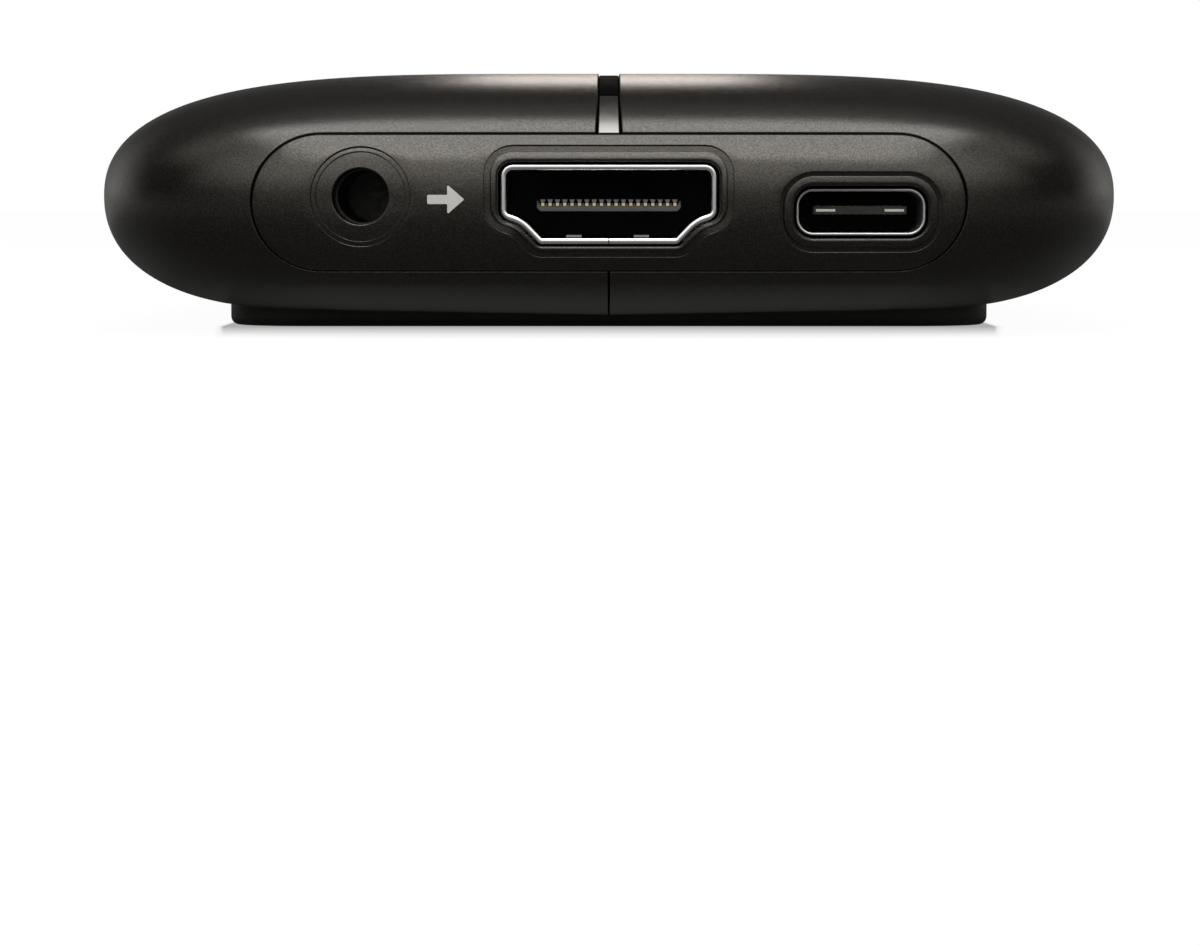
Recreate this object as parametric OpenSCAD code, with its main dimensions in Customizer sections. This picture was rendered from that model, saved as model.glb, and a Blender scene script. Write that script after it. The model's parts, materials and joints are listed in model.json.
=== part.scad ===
// Video capture box: a pebble-shaped two-shell housing with sockets at both ends.
// Millimetres. X is the width, Y the length with the input end at -Y, Z up from the surface it stands on.

/* [Housing] */
// Width of the housing at its widest
body_w = 75; // [71:0.5:82]
// Length of the housing at its longest
body_l = 112; // [106:1:124]
// Height of the crown above the surface that the box stands on
body_top = 18.7; // [18.2:0.1:21]
// Height of the lowest point of the housing above that surface
body_bottom = 0.6; // [0.3:0.05:0.8]
// Height of the widest level
equator_z = 9.65; // [9.4:0.05:10]
// Power of the rounded outline in plan, where 2 is an ellipse
plan_power = 5; // [4:0.25:6]
// Power of the upper side curve at the rim
top_rim_power = 2.3; // [2:0.1:2.8]
// Power of the upper side curve at the crown
top_crown_power = 4.2; // [3.6:0.1:5]
// Power of the lower side curve at the rim
low_rim_power = 2.15; // [2:0.05:2.8]
// Power of the lower side curve at the crown
low_crown_power = 5.4; // [4.6:0.1:6]
// Power of the upper end curve at the rim
end_rim_power = 2.3; // [2:0.1:2.8]
// Power of the upper end curve at the crown
end_crown_power = 7; // [6:0.25:9]
// Power of the lower end curve at the rim
low_end_rim_power = 3; // [2.6:0.1:3.6]
// Power of the lower end curve at the crown
low_end_crown_power = 6; // [5:0.25:8]
// Wall thickness of the two shells
wall = 1.8; // [1.5:0.1:2.1]
// Thickness of the floor above the foot pad
floor_t = 1.3; // [1.1:0.1:1.6]
// Gap between the two shells
seam = 0.1; // [0.06:0.02:0.2]

/* [Foot pad] */
// Distance from the side of the housing to the foot pad
pad_side_inset = 8.8; // [8:0.2:12]
// Distance from the end of the housing to the foot pad
pad_end_inset = 27; // [24:0.5:30]
// Thickness of the foot pad
pad_t = 2; // [1.9:0.05:2.3]
// Corner radius of the foot pad in plan
pad_corner = 6; // [4:0.5:10]
// Radius of the lower edge of the foot pad
pad_edge = 0.6; // [0.3:0.1:0.9]
// Gap around the foot pad in its pocket
pad_gap = 0.1; // [0.05:0.05:0.25]

/* [Centre strip] */
// Width of the groove between the shells
groove_w = 1.8; // [1.5:0.1:2.4]
// Gap at each side of the strip in the groove
strip_gap = 0.2; // [0.1:0.05:0.3]
// Thickness of the strip
strip_t = 1; // [0.7:0.1:1.1]
// Depth of the strip below the housing surface
strip_recess = 0.12; // [0.05:0.01:0.2]
// Height of the joint between the strip and the light guides
guide_top_z = 16.75; // [16.4:0.05:17]
// Gap between the strip and the light guides
guide_gap = 0.1; // [0.05:0.05:0.2]
// Thickness of the light pipe behind each light guide
pipe_t = 1; // [0.8:0.1:1.1]

/* [Port plates] */
// Width of the port plates
plate_w = 48.4; // [46:0.2:50]
// Height of the port plates
plate_h = 9.3; // [9:0.1:9.6]
// Height of the middle of the port plates
plate_z = 9.25; // [9.1:0.05:9.4]
// Gap between a port plate and the shells
plate_gap = 0.12; // [0.08:0.02:0.2]
// Width of the flange that holds a port plate behind the shells
flange_w = 0.9; // [0.6:0.1:1.0]
// Thickness of that flange
flange_t = 0.9; // [0.7:0.1:1.1]
// Distance from the end of the housing to the back of a port plate
plate_depth = 7.4; // [7:0.1:8]
// Distance from the end of the housing to the floor of the socket recesses
recess_depth = 1.6; // [1.4:0.05:1.8]
// Step between the two levels of a recess
recess_step = 0.3; // [0.2:0.02:0.36]
// Margin of a recess around its socket at the outer level
recess_margin = 1.05; // [0.9:0.05:1.15]
// Margin of a recess around its socket at the floor
recess_inner = 0.75; // [0.5:0.05:0.85]
// Gap between a socket and the plate
port_gap = 0.12; // [0.08:0.02:0.2]

/* [Main board] */
// Height of the upper face of the main board
board_top = 6.45; // [6.35:0.05:6.55]
// Thickness of the main board
board_t = 1.2; // [1:0.1:1.3]
// Gap between the main board and its neighbours
board_gap = 0.4; // [0.25:0.05:0.6]

/* [Video sockets] */
// Width of the metal shell
video_w = 14.7; // [14.2:0.1:15.2]
// Height of the metal shell
video_h = 5.4; // [5.2:0.05:5.6]
// Drop of the straight sides below the top
video_side = 3.3; // [3.1:0.05:3.5]
// Width between the inner ends of the side steps
video_waist = 12.6; // [12.2:0.1:13]
// Drop from the ends of the straight sides to the side steps
video_jog = 0.4; // [0.3:0.05:0.5]
// Width of the flat bottom
video_base = 9.44; // [9:0.1:10]
// Sheet thickness of the metal shell
video_sheet = 0.37; // [0.3:0.01:0.42]
// Length of the metal shell
video_l = 12.4; // [11.5:0.1:13.5]
// Distance from the end of the housing to the lip of the shell
video_lip = 1.1; // [0.9:0.05:1.3]
// Depth of the tongue tip behind the lip
video_tip = 1.6; // [1:0.1:2.4]
// Length of the tongue
video_reach = 6.4; // [5.6:0.1:7]
// Width of the tongue
tongue_w = 9.8; // [9.6:0.1:10.4]
// Thickness of the tongue
tongue_t = 0.8; // [0.7:0.05:0.9]
// Drop of the middle of the tongue below the top of the shell
tongue_drop = 2.8; // [2.6:0.05:3]
// Number of contacts on the tongue
video_pins = 19; // [15:2:19]
// Spacing of the contacts across the tongue
video_pitch = 0.5; // [0.45:0.01:0.52]
// Width of a contact
video_pin_w = 0.28; // [0.2:0.02:0.34]
// Thickness of a contact
video_pin_t = 0.12; // [0.08:0.01:0.16]

/* [Data socket] */
// Place of the data socket across the box
data_x = 17.07; // [16:0.1:17.6]
// Height of the data socket above the board
data_lift = 0.55; // [0.4:0.05:0.7]
// Width of the metal shell
data_w = 8.8; // [8.6:0.05:9]
// Height of the metal shell
data_h = 3.2; // [3.1:0.05:3.3]
// Corner radius of the metal shell
data_corner = 1.2; // [1.1:0.05:1.5]
// Sheet thickness of the metal shell
data_sheet = 0.3; // [0.24:0.02:0.34]
// Length of the metal shell
data_l = 10; // [9.4:0.1:10.8]
// Distance from the end of the housing to the lip of the shell
data_lip = 1.2; // [1:0.05:1.4]
// Width of the tongue
data_tongue_w = 6.4; // [6.2:0.1:6.8]
// Thickness of the tongue
data_tongue_t = 0.6; // [0.5:0.05:0.7]
// Depth of the tongue tip behind the lip
data_tip = 1; // [0.8:0.1:1.6]
// Length of the tongue
data_reach = 5; // [4.4:0.1:5.6]
// Number of contacts on each face of the tongue
data_pins = 12; // [8:1:12]
// Spacing of the contacts
data_pitch = 0.5; // [0.45:0.01:0.52]

/* [Audio jack] */
// Place of the audio jack across the box
jack_x = -16.8; // [-17.4:0.1:-16]
// Height of the bore axis above the board
jack_axis = 3.2; // [3.1:0.05:3.4]
// Diameter of the bore in the jack
jack_bore = 3.6; // [3.55:0.01:3.7]
// Depth of the bore
jack_depth = 11.6; // [11:0.1:12.4]
// Width of the jack
jack_w = 7; // [6.6:0.1:7.4]
// Height of the jack
jack_h = 6.2; // [6:0.1:6.4]
// Length of the jack
jack_l = 12.8; // [12:0.1:14]
// Diameter of the nose of the jack
jack_nose = 5; // [4.8:0.1:5.4]
// Diameter of the hole in the port plate
jack_hole = 3.8; // [3.7:0.05:4.2]
// Diameter of the recess in the port plate
jack_recess = 6.74; // [6.4:0.02:7]

/* [Frame and fasteners] */
// Gap between the inner frame and the shells
frame_gap = 0.3; // [0.2:0.05:0.5]
// Thickness of the frame floor
frame_floor = 0.9; // [0.7:0.05:1]
// Width of the frame rim
frame_rim = 2; // [1.6:0.1:3]
// Corner radius of the windows in the frame floor
window_corner = 3; // [1:0.5:5]
// Diameter of the screw bosses
boss_d = 4.8; // [4.4:0.1:5.2]
// Height of the top of the screw bosses
boss_top = 9; // [8.6:0.1:10]
// Distance from the ends of the housing to the screw bosses
boss_inset = 33; // [32:0.5:38]
// Diameter of the case screws
case_screw_d = 2; // [1.8:0.1:2.2]
// Diameter of the case screw heads
case_head_d = 3.8; // [3.4:0.1:4.2]
// Thickness of the case screw heads
case_head_t = 0.6; // [0.5:0.05:0.7]
// Length of the case screws below the head
case_screw_l = 5; // [4.4:0.1:5.6]
// Diameter of the board screws
board_screw_d = 1.6; // [1.4:0.1:1.8]
// Diameter of the board screw heads
board_head_d = 3.2; // [2.8:0.1:3.4]
// Height of the board screw heads
board_head_t = 1.1; // [0.8:0.1:1.4]
// Distance from the side of the frame to the board screws
screw_side_inset = 4.1; // [3.4:0.1:5]
// Distance from the ends of the frame to the board screws
screw_end_inset = 7; // [6.8:0.1:8]
// Wall around the board screws in the frame
post_wall = 0.9; // [0.6:0.1:1.2]
// Diameter of the pegs that line up the shells
peg_d = 2; // [1.6:0.1:2.2]
// Length of the pegs
peg_l = 3; // [2.4:0.1:3.4]
// Distance from the ends of the housing to the pegs
peg_inset = 31; // [26:1:38]
// Gap between a pin, peg or screw and its hole, on the diameter
pin_gap = 0.1; // [0.05:0.05:0.2]

/* [Electronics] */
// Side of the capture processor
processor_w = 19; // [17:0.5:20]
// Height of the capture processor
processor_h = 1.6; // [1.2:0.1:2]
// Place of the capture processor along the box
processor_y = 4; // [2:0.5:6]
// Thickness of the thermal pad
thermal_t = 1; // [0.5:0.1:1.5]
// Margin of the processor around the thermal pad
thermal_margin = 1.5; // [0.5:0.25:3]
// Width of the heat spreader
spreader_w = 40; // [34:1:42]
// Length of the heat spreader
spreader_l = 34; // [30:1:36]
// Thickness of the heat spreader
spreader_t = 1.2; // [0.8:0.1:1.6]
// Width of a memory chip
memory_w = 8; // [7:0.5:9]
// Length of a memory chip
memory_l = 12; // [10:0.5:13]
// Height of the memory and support chips
chip_h = 1; // [0.8:0.05:1.2]
// Space between chips that stand side by side
chip_space = 1.5; // [1:0.25:2]
// Side of the video receiver and video transmitter
video_chip_w = 10; // [8:0.5:11]
// Distance from the input end to the video receiver
receiver_inset = 27; // [26:0.5:29]
// Distance from the output end to the video transmitter
transmitter_inset = 25; // [24:0.5:27]
// Side of the shield can
can_w = 15; // [13.5:0.5:16]
// Height of the shield can
can_h = 3; // [2.4:0.1:3.4]
// Sheet thickness of the shield can
can_sheet = 0.3; // [0.2:0.05:0.4]
// Side of the data controller
data_chip_w = 7; // [6:0.5:8]
// Side of the audio converter
audio_chip_w = 5; // [4:0.5:6]
// Distance from the input end to the data controller and audio converter
port_chip_inset = 27; // [26:0.5:29]
// Width of a crystal
crystal_w = 3.2; // [2.5:0.1:4]
// Side of an inductor
inductor_w = 5; // [4:0.25:5.5]
// Height of an inductor
inductor_h = 2.6; // [2:0.1:3]
// Number of inductors
inductor_n = 3; // [1:1:3]
// Length of a capacitor
capacitor_l = 1.6; // [1:0.1:2]
// Width and height of a capacitor
capacitor_w = 0.8; // [0.5:0.05:0.9]
// Number of capacitors beside the processor
capacitor_n = 12; // [4:1:14]
// Length of a status light along the box
lamp_l = 1.6; // [1.2:0.1:1.8]
// Height of a status light
lamp_h = 0.7; // [0.5:0.05:0.9]

/* [Hidden] */

$fn = 48;
// Facets of a pebble around its outline and from the rim to the crown, outside and inside
outer_facets = [56, 10];
inner_facets = [32, 7];
arch_n = 20;
arc_n = 4;
// Overshoot of a cutter past the face that it opens
over = 1;
big = body_w + body_l;

paint = "#3b3733";
black = "#141414";
steel = "#b9bcc0";
gold = "#c9a24a";
board_green = "#1f4a34";

half_w0 = body_w / 2;
half_l0 = body_l / 2;
pocket_z = pad_t;
floor_z = pocket_z + floor_t;
board_bottom = board_top - board_t;
plate_back = half_l0 - plate_depth;
strip_w = groove_w - 2 * strip_gap;
groove_depth = strip_recess + strip_t;
plate_top = plate_z + plate_h / 2;
board_l = 2 * (plate_back - board_gap);
jack_z = board_top + jack_axis;
data_z = board_top + data_lift + data_h / 2;
case_seat_z = pocket_z + case_head_t + pin_gap;
case_end_z = case_seat_z + case_screw_l;
peg_z = body_top - wall - peg_d;
peg_boss_d = 2.2 * peg_d;
boss_y = half_l0 - boss_inset;
boss_x = plan_x(boss_y, floor_z, wall + frame_gap) - boss_d / 2 - frame_gap;
board_screw_y = half_l(floor_z, wall + frame_gap) - screw_end_inset;
board_screw_x = plan_x(board_screw_y, floor_z, wall + frame_gap) - screw_side_inset;
peg_y = half_l0 - peg_inset;
receiver_y = receiver_inset - half_l0;
transmitter_y = half_l0 - transmitter_inset;
port_chip_y = port_chip_inset - half_l0;
port_chip_x = boss_x - boss_d / 2 - chip_space;
lamp_y = half_l0 - video_lip - video_l - lamp_l;

// Height share of level z on a body drawn in by inset, 0 at the rim and 1 at the crown
function level(z, inset) =
    z > equator_z ? (z - equator_z) / (body_top - equator_z - inset)
                  : (equator_z - z) / (equator_z - body_bottom - inset);

function crown(t, rim, power) = pow(max(0, 1 - pow(min(t, 1), rim)), 1 / power);

// Half width and half length of the body at level z
function half_w(z, inset) =
    (half_w0 - inset) * (z > equator_z ? crown(level(z, inset), top_rim_power, top_crown_power)
                                       : crown(level(z, inset), low_rim_power, low_crown_power));

function half_l(z, inset) =
    (half_l0 - inset) * (z > equator_z ? crown(level(z, inset), end_rim_power, end_crown_power)
                                       : crown(level(z, inset), low_end_rim_power, low_end_crown_power));

// Where the outline at level z lies for a given place along or across the box
function plan_x(y, z, inset) =
    half_w(z, inset) * pow(1 - pow(abs(y) / half_l(z, inset), plan_power), 1 / plan_power);

function plan_y(x, z, inset) =
    half_l(z, inset) * pow(1 - pow(abs(x) / half_w(z, inset), plan_power), 1 / plan_power);

function root(v) = sign(v) * pow(abs(v), 2 / plan_power);

// Rounded outline with half width w and half length l
function oval(w, l, n = outer_facets[0]) =
    [for (k = [0 : n - 1])
        let (a = (k + 0.5) * 360 / n)
        [w * root(cos(a)), l * root(sin(a))]];

// Levels of a pebble from its lowest ring to its highest
function levels(inset, rise_n) =
    let (low = equator_z - body_bottom - inset, high = body_top - equator_z - inset)
    [for (k = [1 - rise_n : rise_n - 1])
        equator_z + (k < 0 ? low : high) * sin(90 * k / rise_n)];

// The whole pebble, drawn in by inset
module pebble(inset) {
    facets = inset > 0 ? inner_facets : outer_facets;
    around_n = facets[0];
    rings = levels(inset, facets[1]);
    ring_count = len(rings);
    points = concat(
        [for (z = rings) for (p = oval(half_w(z, inset), half_l(z, inset), around_n)) [p.x, p.y, z]],
        [[0, 0, body_bottom + inset], [0, 0, body_top - inset]]);
    bottom_tip = ring_count * around_n;
    top_ring = (ring_count - 1) * around_n;
    faces = concat(
        [for (r = [0 : ring_count - 2]) for (k = [0 : around_n - 1])
            let (n = (k + 1) % around_n, a = r * around_n, b = a + around_n)
            each [[a + k, b + k, b + n], [a + k, b + n, a + n]]],
        [for (k = [0 : around_n - 1]) [bottom_tip, k, (k + 1) % around_n]],
        [for (k = [0 : around_n - 1]) [bottom_tip + 1, top_ring + (k + 1) % around_n, top_ring + k]]);
    polyhedron(points, faces, convexity = 4);
}

// Lengthwise arch of the upper half, from end to end
function arch(inset) =
    [for (k = [0 : 2 * arch_n])
        let (a = 180 * k / (2 * arch_n), t = sin(a))
        [-sign(cos(a)) * (half_l0 - inset) * crown(t, end_rim_power, end_crown_power),
         equator_z + (body_top - equator_z - inset) * t]];

// Band of the arch between two depths and above a level
module arch_band(outer, inner, z_min, z_max) {
    intersection() {
        difference() {
            polygon(arch(outer));
            polygon(arch(inner));
        }
        translate([-big, z_min])
            square([2 * big, z_max - z_min]);
    }
}

// Sets a side-view drawing upright, w wide across the box
module side_on(w) {
    rotate([90, 0, 90])
        translate([0, 0, -w / 2])
            linear_extrude(w)
                children();
}

// Sets a front-view drawing upright, from y to y + l
module front_on(y, l) {
    translate([0, y + l, 0])
        rotate([90, 0, 0])
            linear_extrude(l)
                children();
}

// Turns what is drawn at the input end to the output end
module at_rear() {
    rotate([0, 0, 180])
        children();
}

module four(x, y) {
    for (sx = [-1, 1], sy = [-1, 1])
        translate([sx * x, sy * y, 0])
            children();
}

// Unit vector from one point to another
function way(a, b) = (b - a) / norm(b - a);

// Moves each side of an outline outward by d; the points run anticlockwise
function grow(pts, d) =
    [for (i = [0 : len(pts) - 1])
        let (
            a = way(pts[(i + len(pts) - 1) % len(pts)], pts[i]),
            b = way(pts[i], pts[(i + 1) % len(pts)]),
            na = [a.y, -a.x],
            nb = [b.y, -b.x])
        pts[i] + d * (na + nb) / (1 + na * nb)];

// Rounds the corners of an outline with arcs of radius r
function rounded(pts, r) =
    [for (i = [0 : len(pts) - 1])
        let (
            p = pts[i],
            u = way(p, pts[(i + len(pts) - 1) % len(pts)]),
            v = way(p, pts[(i + 1) % len(pts)]),
            half = acos(u * v) / 2,
            c = p + r / sin(half) * (u + v) / norm(u + v),
            s = p + u * r / tan(half) - c,
            turn = (u.x * v.y - u.y * v.x > 0 ? -1 : 1) * (180 - 2 * half))
        for (k = [0 : arc_n])
            let (a = turn * k / arc_n)
            c + [s.x * cos(a) - s.y * sin(a), s.x * sin(a) + s.y * cos(a)]];

// Corners of the video socket outline, seen from the front
video_corners = let (
        top = board_top + video_h,
        side = top - video_side,
        jog = side - video_jog)
    [[-video_base / 2, board_top], [video_base / 2, board_top],
     [video_waist / 2, jog], [video_w / 2, side], [video_w / 2, top],
     [-video_w / 2, top], [-video_w / 2, side], [-video_waist / 2, jog]];
video_round = 0.55;

module video_outline(d) {
    polygon(rounded(grow(video_corners, d), max(0.1, video_round + d / 2)));
}

// Outline with rounded corners about the middle of the data socket, grown by d
module data_outline(d) {
    translate([data_x, data_z])
        round_rect(data_w + 2 * d, data_h + 2 * d, data_corner + d);
}

// Port plate outline, grown by d
module plate_outline(d) {
    h = plate_h + 2 * d;
    flat = plate_w - plate_h;
    translate([0, plate_z]) {
        square([flat, h], center = true);
        for (s = [-1, 1])
            translate([s * flat / 2, 0])
                circle(d = h);
    }
}

// Rounded rectangle slab with a rounded lower edge
module pad_slab(w, l, t, corner, edge) {
    x = w / 2 - corner;
    y = l / 2 - corner;
    four(x, y)
        rotate_extrude()
            union() {
                square([corner - edge, t]);
                translate([0, edge])
                    square([corner, t - edge]);
                translate([corner - edge, edge])
                    circle(r = edge, $fn = 24);
            }
    for (s = [-1, 1]) {
        translate([0, s * (l / 2 - edge), edge])
            rotate([0, 90, 0])
                cylinder(r = edge, h = 2 * x, center = true);
        translate([s * (w / 2 - edge), 0, edge])
            rotate([90, 0, 0])
                cylinder(r = edge, h = 2 * y, center = true);
    }
    translate([-x, -l / 2, edge])
        cube([2 * x, l, t - edge]);
    translate([-w / 2, -y, edge])
        cube([w, 2 * y, t - edge]);
    translate([-x, edge - l / 2, 0])
        cube([2 * x, l - 2 * edge, t]);
    translate([edge - w / 2, -y, 0])
        cube([w - 2 * edge, 2 * y, t]);
}

// Rectangle with round corners, as a drawing
module round_rect(w, l, r) {
    square([w - 2 * r, l], center = true);
    square([w, l - 2 * r], center = true);
    for (sx = [-1, 1], sy = [-1, 1])
        translate([sx * (w / 2 - r), sy * (l / 2 - r)])
            circle(r);
}

// One shell: the half of the hollow pebble at side 1 or -1
module shell_half(side) {
    difference() {
        union() {
            difference() {
                intersection() {
                    pebble(0);
                    translate([side > 0 ? seam / 2 : -big - seam / 2, -big / 2, 0])
                        cube([big, big, body_top + over]);
                }
                intersection() {
                    pebble(wall);
                    translate([-big / 2, -big / 2, floor_z])
                        cube([big, big, body_top]);
                }
            }
            for (y = [-peg_y, peg_y])
                peg_boss(side, y);
        }
        side_on(groove_w)
            arch_band(-over, groove_depth, plate_top, body_top + over);
        for (turn = [0, 180])
            rotate([0, 0, turn])
                shell_cuts();
        linear_pocket();
        four(boss_x, boss_y) {
            translate([0, 0, pocket_z - over])
                cylinder(d = case_head_d + pin_gap, h = case_seat_z - pocket_z + over);
            translate([0, 0, pocket_z])
                cylinder(d = case_screw_d + 2 * pin_gap, h = floor_t + over);
        }
        if (side > 0)
            for (y = [-peg_y, peg_y])
                translate([-over, y, peg_z])
                    rotate([0, 90, 0])
                        cylinder(d = peg_d + pin_gap, h = peg_l + pin_gap + over);
    }
    if (side < 0)
        for (y = [-peg_y, peg_y])
            translate([-seam / 2 - over, y, peg_z])
                rotate([0, 90, 0])
                    cylinder(d = peg_d, h = over + seam / 2 + peg_l);
}

// Boss under the roof that carries or takes a peg
module peg_boss(side, y) {
    translate([side > 0 ? seam / 2 : -seam / 2 - peg_l - wall, y, peg_z])
        rotate([0, 90, 0])
            cylinder(d = peg_boss_d, h = peg_l + wall);
}

// Openings at one end of the shells: the port plate and the light pipe
module shell_cuts() {
    front_on(-half_l0 - over, plate_depth + over)
        plate_outline(plate_gap);
    translate([-groove_w / 2, -half_l0, pipe_z - strip_gap])
        cube([groove_w, half_l0 - lamp_y + lamp_l, pipe_t + 2 * strip_gap]);
}

pipe_z = guide_top_z - guide_gap - pipe_t - strip_gap;

module linear_pocket() {
    translate([0, 0, -over])
        linear_extrude(pocket_z + over)
            round_rect(body_w - 2 * pad_side_inset + 2 * pad_gap,
                       body_l - 2 * pad_end_inset + 2 * pad_gap, pad_corner + pad_gap);
}

module left_shell() {
    color(paint)
        shell_half(-1);
}

module right_shell() {
    color(paint)
        shell_half(1);
}

// Flush plate at the input end, flanged behind the shells
module plate_blank() {
    difference() {
        union() {
            intersection() {
                pebble(0);
                front_on(-half_l0 - over, plate_depth + over)
                    plate_outline(0);
            }
            intersection() {
                pebble(wall);
                front_on(-half_l0 - over, plate_depth + over)
                    plate_outline(flange_w);
            }
        }
        pebble(wall + flange_t);
        video_recess();
    }
}

// All that lies in front of a plane laid under the face at a place on it
module in_front(x, z, depth) {
    turn = atan((plan_y(x - over, z, 0) - plan_y(x + over, z, 0)) / (2 * over));
    lean = atan((plan_y(x, z + over, 0) - plan_y(x, z - over, 0)) / (2 * over));
    translate([x, depth - plan_y(x, z, 0), z])
        rotate([lean, 0, turn])
            translate([-big, -2 * big, -big])
                cube(2 * big);
}

// Recess down to a depth under the face
module recess(x, z, depth) {
    intersection() {
        in_front(x, z, depth);
        front_on(-half_l0 - over, plate_depth)
            children();
    }
}

// Two-level recess and through hole for the video socket
module video_recess() {
    video_z = board_top + video_h / 2;
    recess(0, video_z, recess_depth - recess_step)
        video_outline(recess_margin);
    recess(0, video_z, recess_depth)
        video_outline(recess_inner);
    front_on(-half_l0 - over, over + plate_depth + over)
        video_outline(port_gap);
}

// The same for the data socket
module data_recess() {
    recess(data_x, data_z, recess_depth - recess_step)
        data_outline(recess_margin);
    recess(data_x, data_z, recess_depth)
        data_outline(recess_inner);
    front_on(-half_l0 - over, over + plate_depth + over)
        data_outline(port_gap);
}

// Round hole of diameter d through the front, at the jack
module jack_bore(d) {
    translate([jack_x, -half_l0 - over, jack_z])
        rotate([-90, 0, 0])
            cylinder(d = d, h = over + plate_depth + over);
}

module jack_opening() {
    intersection() {
        in_front(jack_x, jack_z, recess_depth - recess_step);
        jack_bore(jack_recess);
    }
    intersection() {
        in_front(jack_x, jack_z, recess_depth);
        jack_bore(jack_recess - 2 * (recess_margin - recess_inner));
    }
    jack_bore(jack_hole);
}

module front_port_plate() {
    color(paint)
        difference() {
            plate_blank();
            data_recess();
            jack_opening();
        }
}

module rear_port_plate() {
    color(paint)
        at_rear()
            plate_blank();
}

// Gloss inlay over the top of the box
module centre_strip() {
    color(black)
        side_on(strip_w)
            arch_band(strip_recess, groove_depth, guide_top_z, body_top);
}

// Light guide at the input end: the visible end piece and the pipe down to its lamp
module light_guide() {
    foot_z = board_top + lamp_h + strip_gap;
    pipe_back = -lamp_y + lamp_l / 2;
    side_on(strip_w)
        intersection() {
            arch_band(strip_recess, groove_depth, plate_top + plate_gap, guide_top_z - guide_gap);
            translate([-big, 0])
                square([big, big]);
        }
    side_on(strip_w)
        intersection() {
            polygon(arch(groove_depth / 2));
            translate([-half_l0, pipe_z])
                square([pipe_back + half_l0, pipe_t]);
        }
    side_on(strip_w)
        translate([pipe_back - lamp_l, foot_z])
            square([lamp_l, pipe_z + pipe_t - foot_z]);
}

module front_light_guide() {
    color("#c8c8c4")
        light_guide();
}

module rear_light_guide() {
    color("#c8c8c4")
        at_rear()
            light_guide();
}

module foot_pad() {
    color("#1b1b1b")
        pad_slab(body_w - 2 * pad_side_inset, body_l - 2 * pad_end_inset, pad_t, pad_corner, pad_edge);
}

// Moulded tray that carries the board and takes the case screws
module inner_frame() {
    w = half_w(floor_z, wall + frame_gap);
    l = half_l(floor_z, wall + frame_gap);
    color("#2a2a2c")
        difference() {
            union() {
                translate([0, 0, floor_z])
                    linear_extrude(board_bottom - floor_z)
                        difference() {
                            polygon(oval(w, l));
                            polygon(oval(w - frame_rim, l - frame_rim));
                        }
                translate([0, 0, floor_z])
                    linear_extrude(frame_floor)
                        polygon(oval(w, l));
                four(boss_x, boss_y)
                    translate([0, 0, floor_z])
                        cylinder(d = boss_d, h = boss_top - floor_z);
                four(board_screw_x, board_screw_y)
                    translate([0, 0, floor_z])
                        cylinder(d = board_screw_d + 2 * post_wall, h = board_bottom - floor_z);
            }
            four(boss_x, boss_y)
                translate([0, 0, floor_z - over])
                    cylinder(d = case_screw_d + pin_gap, h = case_end_z + pin_gap - floor_z + over);
            four(board_screw_x, board_screw_y)
                translate([0, 0, floor_z - over])
                    cylinder(d = board_screw_d + pin_gap, h = big);
            for (y = [-1, 1])
                translate([0, y * boss_y / 2, floor_z - over])
                    linear_extrude(big)
                        round_rect(2 * (boss_x - boss_d), boss_y - boss_d, window_corner);
        }
}

module main_board() {
    color(board_green)
        difference() {
            translate([0, 0, board_bottom])
                linear_extrude(board_t)
                    intersection() {
                        polygon(oval(half_w(board_bottom, wall + board_gap),
                                     half_l(board_bottom, wall + board_gap)));
                        square([big, board_l], center = true);
                    }
            four(boss_x, boss_y)
                translate([0, 0, board_bottom - over])
                    cylinder(d = boss_d + board_gap, h = board_t + 2 * over);
            four(board_screw_x, board_screw_y)
                translate([0, 0, board_bottom - over])
                    cylinder(d = board_screw_d + 2 * pin_gap, h = board_t + 2 * over);
        }
}

video_y = video_lip - half_l0;
video_back = video_y + video_l;
tongue_z = board_top + video_h - tongue_drop;
tongue_y = video_y + video_tip;
block_y = tongue_y + video_reach;

// Folded metal shell of a video socket, with its closing seam underneath
module video_shell() {
    front_on(video_y, video_l)
        difference() {
            video_outline(0);
            video_outline(-video_sheet);
            translate([-seam / 2, board_top - over])
                square([seam, over + 2 * video_sheet]);
        }
}

// Plastic core of a video socket: the block at the back and the tongue
module video_insulator() {
    front_on(block_y, video_back - block_y)
        video_outline(-video_sheet - pin_gap / 2);
    front_on(tongue_y, block_y - tongue_y)
        translate([0, tongue_z])
            square([tongue_w, tongue_t], center = true);
}

// Contacts in two rows, above and below the tongue by turns, with tails on the board
module video_contacts() {
    last = (video_pins - 1) / 2;
    for (i = [-last : last]) {
        up = (i + last) % 2 == 0 ? 1 : -1;
        translate([i * video_pitch - video_pin_w / 2, tongue_y,
                   tongue_z + up * (tongue_t + video_pin_t) / 2 - video_pin_t / 2])
            cube([video_pin_w, video_reach, video_pin_t]);
        translate([i * video_pitch - video_pin_w / 2, video_back, board_top])
            cube([video_pin_w, lamp_l / 2, video_pin_t]);
    }
}

module video_in_shell() {
    color(steel)
        video_shell();
}

module video_in_insulator() {
    color(black)
        video_insulator();
}

module video_in_contacts() {
    color(gold)
        video_contacts();
}

module video_out_shell() {
    color(steel)
        at_rear()
            video_shell();
}

module video_out_insulator() {
    color(black)
        at_rear()
            video_insulator();
}

module video_out_contacts() {
    color(gold)
        at_rear()
            video_contacts();
}

data_y = data_lip - half_l0;
data_back = data_y + data_l;
data_tongue_y = data_y + data_tip;
data_block_y = data_tongue_y + data_reach;
data_pin_w = 0.25;
data_pin_t = 0.06;

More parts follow.
